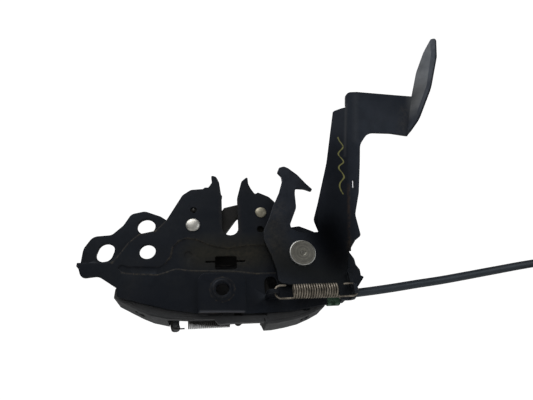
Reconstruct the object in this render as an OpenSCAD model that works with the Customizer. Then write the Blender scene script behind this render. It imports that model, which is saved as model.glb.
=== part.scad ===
// Bonnet latch: pressed base plate with claw and pawl behind it, folded safety lever
// in front of it, and a sheathed release cable.
// Millimetres. Origin: centre of the round fixing hole, on the base plate's back face.
// X runs to the right, Z up, and the front of the latch looks along -Y.

/* [Sheet metal] */
// Thickness of the pressed steel sheets
sheet_t = 2.6; // [2.3:0.1:2.9]
// Set-back of the two flange lobes behind the main plate
lobe_step = 7.2; // [6:0.1:8.5]
// Height of the raised pad in front of the main plate
pad_h = 4; // [3.4:0.1:4.6]
// Depth of the pressed hollow round the window
hollow_d = 0.7; // [0.4:0.1:0.9]
// Reach of the outer lobe, left of the fixing hole
lobe_reach = 44; // [43:0.5:46]
// Reach of the plate's right edge from the fixing hole
plate_reach = 145; // [144.5:0.5:147]

/* [Fixings] */
// Diameter of the round fixing hole
fixing_d = 10.6; // [9:0.1:11.4]
// Diameter of the hole in the upper lobe
lobe_hole_d = 12.4; // [10:0.1:13]
// Width of the slotted hole in the outer lobe
lobe_slot_w = 10.8; // [8:0.1:11.5]
// Travel of a bolt along that slot
lobe_slot_run = 3; // [1:0.1:4]
// Diameter of the hole in the raised pad
boss_d = 8.4; // [6.6:0.1:9]
// Height of the collar round the pad's hole
boss_h = 1; // [0.6:0.1:1.4]

/* [Striker slot] */
// Width of the slot that guides the striker
slot_w = 11.5; // [10.5:0.1:12]
// Height of the slot's floor above the fixing hole
slot_floor = 11.3; // [10.6:0.1:12.4]

/* [Claw and pawl] */
// Thickness of the claw and of the pawl
catch_t = 5; // [4.4:0.1:5.6]
// Gap between the base plate and the claw
catch_gap = 1; // [0.9:0.1:1.3]
// Room behind the claw for its spring
coil_room = 3.6; // [3.4:0.1:4.2]
// Width of the claw's mouth
mouth_w = 10.5; // [9.6:0.1:11]
// Reach of the claw's lip from its pivot
claw_reach = 41; // [40.4:0.1:41.1]
// Radius of the claw's pivot shank
claw_pin_r = 4; // [3.4:0.1:4.4]
// Radius of the pawl's pivot shank
pawl_pin_r = 3.5; // [3:0.1:4]
// Running clearance of a pivot, on the radius
run_gap = 0.05; // [0.03:0.01:0.08]

/* [Safety lever] */
// Gap between base plate and lever, filled by the spacer
lever_gap = 3; // [2.8:0.1:3.4]
// Radius of the lever's pivot shank
lever_pin_r = 5; // [4.6:0.1:5.6]
// Radius of the lever rivet's flat head
lever_head_r = 9.3; // [8.6:0.1:9.8]
// Length of the arm along the fold between its two panels
arm_len = 106; // [102:0.5:110]
// Length of the tongue, from that fold to the paddle
tongue_len = 45.6; // [43:0.2:49]
// Height of the thumb paddle
paddle_len = 80.4; // [77:0.2:83]
// Forward fold of the arm
arm_fold = 35; // [33:0.5:37]
// Backward fold between the arm's two panels
panel_fold = 30; // [28:0.5:32]
// Forward fold of the thumb paddle
paddle_fold = 50; // [45:0.5:55]

/* [Springs] */
// Wire of the lever spring
lever_wire_d = 1.2; // [1:0.05:1.4]
// Mean radius of the lever spring's coils
lever_coil_r = 4.2; // [3.8:0.1:4.5]
// Wire of the pawl spring
pawl_wire_d = 0.9; // [0.8:0.05:1]
// Mean radius of the pawl spring's coils
pawl_coil_r = 3.1; // [2.8:0.1:3.3]
// Wire of the claw spring
claw_wire_d = 1.6; // [1.4:0.05:1.7]

/* [Rear cover] */
// Depth of the cover behind the base plate
cover_depth = 22; // [20:0.5:25]
// Wall of the cover
cover_wall = 2; // [1.7:0.1:2.3]

/* [Cable] */
// Diameter of the cable's sheath
sheath_d = 6; // [5.4:0.1:6.1]
// Radius of the core wire
core_r = 0.75; // [0.6:0.05:0.9]
// Radius of the sheath's end ferrule
ferrule_r = 3.1; // [2.9:0.05:3.3]
// Mean radius of the stored coil
coil_r = 33; // [30:0.5:33]

/* [Hidden] */
$fn = 48;

// Colours
paint = [0.10, 0.10, 0.11];
bare_steel = [0.55, 0.55, 0.54];
dark_steel = [0.16, 0.16, 0.15];
spring_steel = [0.42, 0.36, 0.28];
cover_black = [0.15, 0.15, 0.16];
clip_green = [0.22, 0.36, 0.27];
sheath_black = [0.12, 0.13, 0.14];

// Places in the plate's plane, [x, z]
claw_at = [29.8, 19.6];
pawl_at = [79.4, 29.5];
lever_at = [105.6, -5.9];
slot_x = 56.3;
boss_at = [49.8, -29.2];
spring_end_at = [30, 31.8];
lobe_hole_at = [-3.4, 22.3];
lobe_slot_at = [15 - lobe_reach, 2.8];

// Depths, from the front of the latch to its back
plate_front = -sheet_t;
lobe_back = lobe_step;
pad_front = plate_front - pad_h;
lever_back = plate_front - lever_gap;
lever_front = lever_back - sheet_t;
catch_front = catch_gap;
catch_back = catch_front + catch_t;
catch_mid = catch_front + catch_t / 2;
backing_front = catch_back + coil_room;
backing_t = 2;
backing_back = backing_front + backing_t;
cover_gap = 0.3;

// Lever spring: height, depth, and the x of its two seats
lever_spring_z = -34.5;
lever_spring_y = lever_front - 5.5;
shelf_x = 82;
shelf_w = 8.4;
shelf_top = lever_spring_z + sheet_t / 2;
hook_x = shelf_x + 0.8;
hook_hole_r = lever_wire_d / 2 + 0.4;
flange_x = 134.6;

// Pawl spring: height, depth, and the x of its two posts
pawl_spring_z = -46.4;
pawl_spring_y = catch_back + pawl_coil_r + 0.8;
post_x = 19.4;
post_r = 1.6;
foot_x = 60.5;
foot_bottom = -42.2;

// Cable line: height of the core, and the x of its pieces
cable_z = -32;
cable_y = catch_mid;
nipple_x = 75.1;
nipple_r = 2.8;
snout_x = 116;
ferrule_x = 120.4;
bracket_x = 131.2;
ferrule_end = 137;
coil_out = coil_r + sheath_d / 2;
coil_top = -11.2;
coil_at = [338, coil_top - coil_out];
coil_turns_wide = 3;
coil_turns_deep = 2;
tail_x = coil_at.x + coil_out;
tail_y = cable_y + sheath_d;
tail_end = -84;

// Ridge along which the flange lobes step back from the main plate
ridge = [[-lobe_reach, -7], [-22, -7.5], [-13.5, 6.5], [-7, 13], [4, 15.5], [11.5, 24.5]];

// Lower rim of the rear cover, from its left end round to its right end
rim = [[-11, -19], [-18.6, -24.6], [-18.8, -30.4], [-9, -35.8], [-2, -39.5], [4.6, -42.4], [14.7, -44.9], [28, -46],
    [53, -46.6], [77, -47], [78.6, -50.8], [84, -50.7],
    [93.6, -49.4], [102.5, -47.6], [111, -44.5], [118.5, -41],
    [118.5, -20]];

// Route of the cable from its ferrule to the stored coil, and its tail
sheath_route = [for (p = [[144, -31.8], [160, -30.4], [175, -28.8], [190, -27], [210, -24.8], [228, -22.4],
    [246, -19.9], [264, -17.4], [280, -15.2], [296, -13.3], [310, -12], [322, -11.4]]) [p.x, cable_y, p.y]];

function unit(v) = v / norm(v);
function reversed(p) = [for (i = [len(p) - 1:-1:0]) p[i]];

// One corner [x, z, r] between its neighbours a and c, as an arc of radius r
function corner(a, b, c, steps) =
    let(
        at = [b.x, b.y],
        u = unit([a.x, a.y] - at),
        v = unit([c.x, c.y] - at),
        half = acos(u * v) / 2,
        middle = at + unit(u + v) * b.z / sin(half),
        from = at + u * b.z / tan(half) - middle,
        to = at + v * b.z / tan(half) - middle,
        start = atan2(from.y, from.x),
        sweep = (atan2(to.y, to.x) - start + 540) % 360 - 180
    )
    b.z == 0 ? [at]
    : [for (i = [0:steps]) middle + b.z * [cos(start + sweep * i / steps), sin(start + sweep * i / steps)]];

// Outline through corners [x, z, r], each rounded to its own radius
function rounded(p, steps = 5) =
    [for (i = [0:len(p) - 1]) each corner(p[(i + len(p) - 1) % len(p)], p[i], p[(i + 1) % len(p)], steps)];

// A line moved sideways by d, to its left
function beside(p, d) =
    [for (i = [0:len(p) - 1])
        let(
            a = unit(p[max(i, 1)] - p[max(i, 1) - 1]),
            b = unit(p[min(i, len(p) - 2) + 1] - p[min(i, len(p) - 2)]),
            m = unit(a + b)
        )
        p[i] + d / (m * a) * [-m.y, m.x]];

// Outline of the strip between two such lines
function strip(p, a, b) = concat(beside(p, a), reversed(beside(p, b)));

// Points of a coil about the X axis through c, from angle start at x0
function coil_along_x(c, r, x0, pitch, turns, steps, start) =
    [for (i = [0:turns * steps]) let(a = 360 * i / steps + start)
        [x0 + pitch * i / steps, c.x + r * sin(a), c.y + r * cos(a)]];

// Flat piece in the XZ plane, from depth y0 to y1
module slab(y0, y1) {
    translate([0, y1, 0]) rotate([90, 0, 0]) linear_extrude(y1 - y0) children();
}

// Round piece along Y at p, from depth y0 to y1
module pin_y(p, r, y0, y1) {
    translate([p.x, y0, p.y]) rotate([-90, 0, 0]) cylinder(r = r, h = y1 - y0);
}

// Round piece along X, on the cable's line
module pin_x(r, x0, x1) {
    translate([x0, cable_y, cable_z]) rotate([0, 90, 0]) cylinder(r = r, h = x1 - x0);
}

// Box between two corners
module block(a, b) {
    translate(a) cube(b - a);
}

// Slot with round ends: a square-ended run between two circles
module slot_2d(r, run) {
    square([2 * r, run], center = true);
    for (s = [-1, 1]) translate([0, s * run / 2]) circle(r);
}

// Wire or tube swept along points, with its rings carried on from one to the next without twist
module tube(p, r, sides, start) {
    last = len(p) - 1;
    t = [for (i = [0:last]) unit(p[min(i + 1, last)] - p[max(i - 1, 0)])];
    n = [for (i = 0, v = unit(start - (start * t[0]) * t[0]); i <= last;
        i = i + 1, v = i > last ? v : unit(v - (v * t[i]) * t[i])) v];
    points = [for (i = [0:last]) for (k = [0:sides - 1])
        p[i] + r * (cos(360 * k / sides) * n[i] + sin(360 * k / sides) * cross(t[i], n[i]))];
    around = [for (i = [0:last - 1]) for (k = [0:sides - 1]) let(m = (k + 1) % sides)
        [i * sides + k, (i + 1) * sides + k, (i + 1) * sides + m, i * sides + m]];
    polyhedron(points, concat([[for (k = [0:sides - 1]) k]], around,
        [[for (k = [sides - 1:-1:0]) last * sides + k]]));
}

// Rivet along Y: front head, shank and closed rear head, from its own profile
module rivet(p, pin_r, head_r, head_h, front, back, tail_r) {
    dome = [for (i = [0:6]) [head_r * sin(15 * i), head_h * (1 - cos(15 * i))]];
    translate([p.x, front - head_h, p.y]) rotate([-90, 0, 0]) rotate_extrude()
        polygon(concat(dome, [[pin_r, head_h], [pin_r, head_h + back - front], [tail_r, head_h + back - front],
            [tail_r - 0.6, head_h + back - front + 1.5], [0, head_h + back - front + 1.5]]));
}

// Base plate, main level: one outline with the striker slot in its top edge
module plate_outline() {
    half = slot_w / 2;
    polygon(rounded([
        [-lobe_reach, -7, 1.5], [-22, -7.5, 5], [-13.5, 6.5, 6], [-7, 13, 4], [4, 15.5, 5], [11.5, 24.5, 4],
        [21.5, 44.5, 6], [27.5, 49.2, 5], [36.6, 50.1, 0.6], [37.8, 51.4, 0.5],
        [40.6, 51.4, 1.2], [43.3, 56, 2], [42.7, 62.3, 0.8], [46.5, 61.4, 2.5],
        [48.8, 56, 5], [slot_x - half, 42, 8], [slot_x - half, slot_floor, half - 0.02],
        [slot_x + half, slot_floor, half - 0.02], [slot_x + half, 42, 8], [65.9, 57, 4], [70.9, 61.9, 0.9],
        [71.2, 55, 2], [72.8, 50.8, 3], [75.9, 45.5, 1.2],
        [78.2, 47.2, 1.2], [86.4, 43.2, 5], [90.4, 38.8, 4],
        [97.5, 16.5, 4], [107, 18, 3], [117, 13.6, 6], [plate_reach - 3.5, -2.5, 6],
        [plate_reach - 0.2, -8.8, 4], [plate_reach, -13, 2],
        [plate_reach + 2.3, -17, 2], [plate_reach + 2.2, -21.2, 0.6],
        [plate_reach + 4.4, -22.2, 0.8], [plate_reach - 1, -28.6, 3],
        [135, -37.4, 3], [131, -38, 1], [130.9, -33.6, 1],
        [120.2, -33.6, 1], [119.8, -40.6, 2], [94, -44, 20], [62, -44.4, 10], [33, -42.8, 20], [17, -40, 20],
        [-1.5, -35, 15], [-16.5, -30.6, 3], [-17, -24.8, 4], [-29.5, -16.3, 6], [4 - lobe_reach, -17.5, 4]
    ]));
}

// Flange lobes, set back from the main level
module lobe_outline() {
    polygon(rounded([
        [-lobe_reach, -7.6, 1], [0.2 - lobe_reach, 6, 6], [5 - lobe_reach, 15, 6], [-26.5, 16, 5],
        [-19.5, 23.5, 6], [-15, 32.6, 5], [-5.5, 35, 6], [6, 30.6, 5],
        [12.4, 26, 1.5], [11.6, 23.4, 0.5], [4.4, 14.4, 1], [-6.6, 11.8, 3],
        [-13, 5.8, 3], [-21.6, -8.4, 3]
    ]));
}

// Raised pad, open at the plate's lower edge
module pad_outline(inset) {
    polygon(rounded([
        [34.4 + inset, -43.3, 0], [34 + inset, -17.8 - inset, 5 - inset / 2],
        [65.2 - inset, -18.2 - inset, 5 - inset / 2], [64.6 - inset, -44.5, 0]
    ]));
}

// Rectangular window with its two side slits
module window_outline() {
    polygon(rounded([
        [45.3, -4.2, 1.2], [45.3, -14, 1.2], [60.1, -14.2, 1.2], [60.1, -4.4, 1.2]
    ]));
    translate([38.8, -8.9]) square([27.2, 1.3]);
}

// Opening left by the shelf of the lever spring
module shelf_opening() {
    translate([shelf_x + 0.4, -24.6]) circle(4.4);
    translate([shelf_x - 4, shelf_top + 0.5]) square([8.8, -24.6 - shelf_top - 0.5]);
}

// Shallow hollow pressed into the main level, between the fixing hole's field and the lower apron
module hollow_outline() {
    polygon(rounded([
        [94, 3, 4], [79.3, 3.2, 4], [68.6, 3.4, 6], [62.1, 2.2, 8],
        [54.8, 1.1, 10], [46.9, 2.3, 8], [40.5, 4.4, 8],
        [32, 8.4, 6], [25.6, 9.4, 3], [20.4, 7.4, 4], [16.6, 3, 4],
        [15.6, -4, 6], [12.4, -8.9, 5], [8.1, -11.4, 5],
        [-11.8, -10.6, 8], [-16.4, -9, 1], [-18.2, -11.4, 1],
        [-14.9, -14.4, 5], [-7.6, -15.5, 8], [7.7, -16.4, 8],
        [13.5, -14.7, 6], [19.4, -12.7, 6], [27.7, -14.1, 8],
        [43.6, -14.8, 20], [60.6, -15.6, 20], [73, -17.5, 10],
        [87.4, -17.4, 6], [94, -16, 4]
    ]));
}

// Collar pressed round the pad's hole: a low outer step, a raised ring, and a cone down to the hole
module pad_collar() {
    r = boss_d / 2;
    translate([boss_at.x, pad_front, boss_at.y]) rotate([-90, 0, 0]) rotate_extrude() polygon([
        [r - 0.5, 1], [r - 0.5, -boss_h / 3], [r + 0.8, -boss_h], [r + 2, -boss_h], [r + 2.6, -boss_h / 3],
        [r + 3.6, -boss_h / 3], [r + 4.2, 0.2], [r + 4.2, 1]
    ]);
}

module base_plate() {
    color(paint) {
        difference() {
            union() {
                slab(plate_front, 0) plate_outline();
                slab(lobe_back - sheet_t, lobe_back) lobe_outline();
                slab(plate_front, lobe_back) polygon(strip(ridge, -sheet_t, 0));
                slab(pad_front, -sheet_t / 2) pad_outline(0);
                pad_collar();
                spring_shelf();
                cable_bracket();
                snap_lug([-5, -33.9], -38.2);
                snap_lug([104.2, -43.2], -46.6);
            }
            slab(pad_front + sheet_t, 1) pad_outline(sheet_t);
            slab(pad_front - 5, lobe_back + 1) plate_holes();
            pin_y(claw_at, claw_pin_r, plate_front - 1, 1);
            pin_y(pawl_at, pawl_pin_r, plate_front - 1, 1);
            pin_y(lever_at, lever_pin_r - 1, plate_front - 1, 1);
            slab(plate_front - 1, plate_front + hollow_d) hollow_outline();
            pin_y([27, -3], 2.8, plate_front - 1, plate_front + hollow_d + 0.5);
        }
    }
}

// Holes that go straight through, in front view
module plate_holes() {
    circle(d = fixing_d);
    translate(lobe_hole_at) circle(d = lobe_hole_d);
    translate(lobe_slot_at) rotate(-14) slot_2d(lobe_slot_w / 2, lobe_slot_run);
    translate(boss_at) circle(d = boss_d);
    translate(spring_end_at) circle(2.3);
    translate([78.2, 15.8]) circle(2.6);
    window_outline();
    shelf_opening();
}

// Shelf turned forward out of the plate, with the hole for the lever spring's hook
module spring_shelf() {
    reach = lever_spring_y - hook_hole_r - 2.8;
    difference() {
        union() {
            block([shelf_x - shelf_w / 2, reach + 3, shelf_top - sheet_t], [shelf_x + shelf_w / 2, -1, shelf_top]);
            translate([shelf_x, lever_spring_y + 0.6, shelf_top - sheet_t]) cylinder(r = shelf_w / 2, h = sheet_t);
        }
        translate([hook_x, lever_spring_y, shelf_top - sheet_t - 1]) cylinder(r = hook_hole_r, h = sheet_t + 2);
    }
}

// Lug turned back behind the plate, which holds the cable's ferrule
module cable_bracket() {
    difference() {
        block([bracket_x, -1, -37.4], [bracket_x + sheet_t, cable_y + ferrule_r + 2, -26]);
        pin_x(ferrule_r, bracket_x - 1, bracket_x + sheet_t + 1);
    }
}

// Lug turned back inside the cover, with a nose that snaps into the cover's window
module snap_lug(at, nose) {
    block([at.x, -1, at.y], [at.x + 3.2, 12, at.y + sheet_t]);
    block([at.x, 7.2, nose], [at.x + 3.2, 12, at.y + 1]);
}

// Bridge plate behind claw and pawl, cut away round the striker's path
module backing_plate() {
    color(dark_steel) {
        slab(backing_front, backing_back) difference() {
            union() {
                for (p = [claw_at, pawl_at]) translate(p) circle(10.5);
                polygon(rounded([
                    [19.4, 19, 0], [22, 0, 6], [34, -7, 6], [74, -7, 8], [88, 8, 6], [89.8, 29, 0],
                    [69, 29, 0], [66.5, 9, 5], [slot_x, 4, 8], [46, 8, 5], [40.2, 19, 0]
                ]));
                polygon(rounded([[20.4, 20, 0], [39.2, 20, 0], [38, 43, 5], [24, 43, 6]]));
            }
            translate(claw_at) circle(claw_pin_r);
            translate(pawl_at) circle(pawl_pin_r);
        }
        block([33, 0, -7 + sheet_t / 2], [43, backing_front + 1, -7 + sheet_t / 2 + backing_t]);
    }
}

// Plastic tray behind the plate, open at the top and at the pawl's spring.
// A skirt stands before the spring's moving end.
module rear_cover() {
    skirt_back = 4.7;
    color(cover_black) {
        difference() {
            union() {
                slab(cover_gap, cover_depth) polygon(strip(rim, 0, cover_wall));
                slab(cover_depth - cover_wall, cover_depth)
                    polygon(concat(rim, [[104, -4], [92, 3], [20, 3], [4, -8]]));
                for (x = [-4, 6, 84, 96, 108])
                    slab(cover_depth - 1, cover_depth + 1.4) translate([x, -36]) square([1.6, 22]);
                slab(cover_gap, skirt_back) polygon(rounded([
                    [44, -45.6, 0], [47.6, -49.8, 2], [56, -49.2, 10], [76.8, -49.4, 0], [76.2, -45.4, 0]
                ]));
            }
            block([post_x - 4.5, 5, -60], [76.4, cover_depth + 2, -41]);
            block([-6.4, 6.2, -42], [-0.4, 13, -32]);
            block([102.8, 6.2, -52], [108.8, 13, -43.6]);
            block([110, -1, cable_z - 3.4], [125, cable_y + 4, cable_z + 3.4]);
        }
        spring_post();
    }
}

// Post on the cover's back wall that holds the pawl spring's fixed end
module spring_post() {
    at = [post_x, pawl_spring_z];
    pin_y(at, post_r, pawl_spring_y - 1.6, cover_depth - 0.5);
    pin_y(at, post_r + 0.9, pawl_spring_y + 1.6, cover_depth - 0.5);
    slab(cover_depth - cover_wall, cover_depth) polygon(rounded([
        [post_x - 6, -38, 0], [post_x - 3, pawl_spring_z - 2.4, 2],
        [post_x + 1.7, pawl_spring_z - 2.4, 1.6], [post_x + 1.8, -38, 0]
    ]));
}

module claw_pivot_rivet() {
    color(bare_steel) rivet(claw_at, claw_pin_r, 5, 1.9, plate_front, backing_back, claw_pin_r + 2);
}

module pawl_pivot_rivet() {
    color(bare_steel) rivet(pawl_at, pawl_pin_r, 4.3, 1.7, plate_front, backing_back, pawl_pin_r + 2);
}

// Shouldered rivet of the safety lever: flat head with a centre dimple, wide shank, narrow clinched end
module lever_pivot_rivet() {
    head_h = 1.7;
    neck_r = lever_pin_r - 1;
    shoulder = head_h + sheet_t + lever_gap;
    color(bare_steel) translate([lever_at.x, lever_front - head_h, lever_at.y]) rotate([-90, 0, 0])
        rotate_extrude() polygon([
            [0, 0.7], [1.6, 0.5], [2.4, 0], [lever_head_r - 0.9, 0], [lever_head_r - 0.2, 0.35],
            [lever_head_r, 0.9], [lever_head_r, head_h], [lever_pin_r, head_h], [lever_pin_r, shoulder],
            [neck_r, shoulder], [neck_r, shoulder + sheet_t], [neck_r + 2.4, shoulder + sheet_t],
            [neck_r + 1.8, shoulder + sheet_t + 0.85], [0, shoulder + sheet_t + 0.85]
        ]);
}

module lever_spacer() {
    color(bare_steel) slab(lever_back, plate_front) translate(lever_at) difference() {
        circle(lever_pin_r + 3.6);
        circle(lever_pin_r);
    }
}

// Claw, shown open: hub, hook above the mouth, and the lip that the striker pushes down
module claw() {
    mouth_at = [17.3, 17.5];
    mouth_lean = 15;
    lip_rise = 2.4;
    color(dark_steel) difference() {
        union() {
            slab(catch_front, catch_back) translate(claw_at) intersection() {
                circle(claw_reach);
                difference() {
                    union() {
                        circle(9.5);
                        polygon(rounded([
                            [-2, -9.2, 0], [16, -9.4, 4], [22.9, -4.9, 4], [31.8, 7.9, 3], [44, 12, 0],
                            [41, 21.8, 0], [21, 26.5, 1.4], [18.6, 31.4, 3],
                            [9, 28.5, 4], [4.2, 13.5, 5], [0, 9, 0]
                        ]));
                    }
                    translate(mouth_at) rotate(mouth_lean) {
                        circle(d = mouth_w);
                        translate([0, lip_rise - mouth_w / 2]) square([40, mouth_w]);
                    }
                    translate([13.5, 1.5]) circle(claw_wire_d / 2 + 0.5);
                }
            }
            pin_y(claw_at, claw_pin_r + 1.6, catch_back - 1, backing_front - 0.3);
        }
        pin_y(claw_at, claw_pin_r + run_gap, catch_front - 1, backing_front);
    }
}

// Pawl, shown drawn back: tooth beside the claw's lip, long arm with the cable's fork, foot with the spring's pin
module pawl() {
    tooth = [70.75, 12.6];
    fork_r = nipple_r + 0.3;
    foot = [foot_x, pawl_spring_z];
    color(dark_steel) difference() {
        union() {
            slab(catch_front, catch_back) {
                translate(pawl_at) circle(8.3);
                polygon(rounded([
                    [72.6, 24.5, 1], [72.4, 18, 3], [tooth.x, 15.6, 0.8], [tooth.x, tooth.y, 0.4],
                    [73.9, 12.1, 1], [72, -14, 10], [69.4, -29, 4], [foot.x - 2.4, -35, 2],
                    [foot.x - 3, foot_bottom, 2], [78, foot_bottom, 4], [82.2, -33, 5],
                    [80, -14, 12], [86.5, 24, 4]
                ]));
            }
            pin_y(pawl_at, pawl_pin_r + 2.2, catch_back - 1, backing_front - 0.3);
            slab(catch_back - 1, catch_back + 1.6) polygon(rounded([
                [foot.x - 3, -36.5, 2], [foot.x - 2.9, foot.y - 3, 2.6],
                [foot.x + 2.9, foot.y - 3, 2.6], [foot.x + 3, -36.5, 2]
            ]));
            pin_y(foot, post_r, catch_back, pawl_spring_y + 1.4);
            pin_y(foot, post_r + 0.9, pawl_spring_y + 1.4, pawl_spring_y + 2.4);
        }
        slab(catch_front - 1, catch_back) polygon([
            [foot.x - 5, foot_bottom], [foot.x - 5, foot.y - 5],
            [foot.x + 5, foot.y - 5], [foot.x + 5, foot_bottom]
        ]);
        pin_y(pawl_at, pawl_pin_r + run_gap, catch_front - 1, backing_front);
        slab(catch_front - 1, catch_back + 1) translate([nipple_x, cable_z]) {
            translate([0, -0.6]) slot_2d(fork_r, 1.8);
            translate([0, -core_r - 1.9]) square([12, 2 * core_r + 2.5]);
        }
    }
}

// Flat panels run this far past their fold lines, into each other
fold_edge = 0.2;
function past(q, lean) = q + fold_edge * [cos(lean), -sin(lean)];

// Moves children beyond a fold line through p, leaning by lean in the sheet's plane.
// A positive bend turns them forward about the sheet's front face, a negative one back about its back face.
module beyond_fold(p, lean, bend) {
    hinge = bend > 0 ? 0 : sheet_t;
    translate([p.x, hinge, p.y]) rotate([0, lean, 0]) rotate([0, 0, -bend]) translate([0, -hinge, 0]) children();
}

// Profile of such a fold's outside: a sector about the hinge, just inside the sheet's faces
function fold_profile(bend) =
    let(
        lap = 12,
        sweep = abs(bend) + 2 * lap,
        steps = ceil(sweep / 7),
        r = sheet_t - 0.03,
        apex = 1.5 * fold_edge * [sin(abs(bend) / 2), cos(bend / 2)],
        outline = concat([apex], [for (i = [0:steps]) let(a = sweep * i / steps - lap) r * [sin(a), cos(a)]])
    )
    [for (q = outline) [q.x, bend > 0 ? q.y : -q.y]];

// Round outside of such a fold, from z0 to z1 along its line
module fold_round(p, lean, bend, z0, z1) {
    hinge = bend > 0 ? 0 : sheet_t;
    translate([p.x, hinge, p.y]) rotate([0, lean, 0]) translate([0, 0, z0 + 0.04])
        linear_extrude(z1 - z0 - 0.08) polygon(fold_profile(bend));
}

// Safety lever: pivot plate with hook, spring flange, two arm panels with tongue, and thumb paddle
arm_line = [[119.4, 10.2], [136.1, -17.7]];
arm_lean = -atan2(arm_line[1].x - arm_line[0].x, arm_line[0].y - arm_line[1].y);
arm_run = norm(arm_line[1] - arm_line[0]);
panel_line = [8, -24];
panel_lean = 38.5;
panel_run = arm_len;
panel_along = [sin(panel_lean), cos(panel_lean)];
panel_across = [-cos(panel_lean), sin(panel_lean)];
paddle_line = [tongue_len, arm_len - 18.6];
paddle_lean = 12;
paddle_run = 32.2;

// Point on the first arm panel: u along the fold between the panels, v to its left
function on_panel(u, v) = panel_line + u * panel_along + v * panel_across;

module safety_lever() {
    color(paint) difference() {
        translate([0, lever_front, 0]) {
            slab(0, sheet_t) lever_outline();
            fold_round([flange_x, 0], 0, 90, -39.5, -21.5);
            beyond_fold([flange_x, 0], 0, 90) slab(0, sheet_t) flange_outline();
            fold_round(arm_line[0], arm_lean, arm_fold, -arm_run, 0);
            beyond_fold(arm_line[0], arm_lean, arm_fold) arm_panels();
        }
        pin_y(lever_at, lever_pin_r + run_gap, lever_front - 1, lever_back + 1);
    }
}

// Pivot plate, with the safety hook at its top and the fold line of the arm at its right
module lever_outline() {
    upper = past(arm_line[0], arm_lean);
    lower = past(arm_line[1], arm_lean);
    edge = flange_x + fold_edge;
    polygon(rounded([
        [93.8, 62.4, 0.8], [95.6, 66.6, 2], [99.6, 68, 3], [103, 66.2, 4], [109.6, 60, 8], [115.8, 51.4, 6],
        [119.8, 46.8, 0.6], [118.6, 45.3, 0.6], [113.5, 47.4, 5], [106.6, 47.9, 1.6], [105.7, 43, 4],
        [105.4, 30.4, 10], [98.4, 14.6, 4], [106, 9.6, 8], [upper.x, upper.y, 0],
        [lower.x, lower.y, 0], [edge, -21.5, 0], [edge, -39.5, 0], [128.5, -39.5, 2],
        [126.5, -29.6, 4], [94, -27.8, 4], [86.8, -26.2, 3], [86.4, -18, 10], [83.4, -6.4, 14],
        [79.4, 4, 6], [79.4, 11.4, 6], [84, 21, 14], [87.6, 31, 20],
        [93.3, 43.2, 14], [96.8, 54, 5], [96.6, 58.6, 3]
    ]));
}

// Spring flange, in its own plane: x forward from the fold, y up. The spring's ring sits round its neck
module flange_outline() {
    neck = 1.6;
    z = lever_spring_z;
    reach = lever_front - lever_spring_y;
    polygon(rounded([
        [-fold_edge, -39.4, 0], [3, -39.4, 1], [reach - 1.4, z - neck, 0.8], [reach + 1.4, z - neck, 0.4],
        [reach + 1.5, z - neck - 2, 0.8], [reach + 3.7, z - neck - 1.4, 1], [reach + 3.7, z + neck + 1.4, 1],
        [reach + 1.5, z + neck + 2, 0.8], [reach + 1.4, z + neck, 0.4],
        [reach - 1.4, z + neck, 0.8], [3.6, -28.6, 2],
        [3.6, -21.6, 1], [-fold_edge, -21.6, 0]
    ]));
}

// First arm panel, and what folds back from it
module arm_panels() {
    foot = past(panel_line, panel_lean);
    top = foot + panel_along * panel_run;
    waist = on_panel(0.61 * arm_len, 14.8);
    shoulder = on_panel(arm_len - 1.7, 9.3);
    notch = on_panel(arm_len - 0.2, 2.9);
    slab(0, sheet_t) polygon(rounded([
        [-fold_edge, -arm_run, 0], [-fold_edge, 0, 0],
        [2.4, 9.2, 5], [12.8, 16.9, 20], [waist.x, waist.y, 30],
        [shoulder.x, shoulder.y, 2], [notch.x, notch.y, 1], [top.x, top.y, 0], [foot.x, foot.y, 0]
    ]));
    fold_round(panel_line, panel_lean, -panel_fold, 0, panel_run);
    beyond_fold(panel_line, panel_lean, -panel_fold) {
        slab(0, sheet_t) difference() {
            front_panel_outline();
            translate([3.4, 0.453 * arm_len]) square([1.1, 5.6], center = true);
        }
        fold_round(paddle_line, paddle_lean, paddle_fold, 0, paddle_run);
        beyond_fold(paddle_line, paddle_lean, paddle_fold) slab(0, sheet_t) paddle_outline();
    }
}

// Second arm panel with the tongue at its top
module front_panel_outline() {
    start = past(paddle_line, paddle_lean);
    end = start + paddle_run * [sin(paddle_lean), cos(paddle_lean)];
    polygon(rounded([
        [-fold_edge, 0, 0], [0.3, 2, 0.5], [3.7, 7.5, 1.5], [8.2, 11, 2.5],
        [4.4, 26, 8], [7.6, 42, 14], [9, arm_len - 42, 20],
        [9.6, arm_len - 28, 10], [16, arm_len - 18.4, 9], [tongue_len - 11.6, arm_len - 17.8, 10],
        [start.x, start.y, 0], [end.x, end.y, 0], [8, arm_len + 13, 4], [-0.6, arm_len + 12, 4.5],
        [-0.9, arm_len + 2.4, 1], [-fold_edge, panel_run, 0]
    ]));
}

// Thumb paddle, curving up from the end of the tongue
module paddle_outline() {
    polygon(rounded([
        [-fold_edge, 0, 0], [-fold_edge, paddle_run, 0],
        [0.3, paddle_len - 28, 30], [3.6, paddle_len - 11, 20],
        [7.8, paddle_len, 1.6], [11.6, paddle_len - 0.4, 1.6], [14, paddle_len - 16, 12], [13.2, 38, 40],
        [7.8, 13, 24], [2.8, 3.8, 8]
    ]));
}

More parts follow.
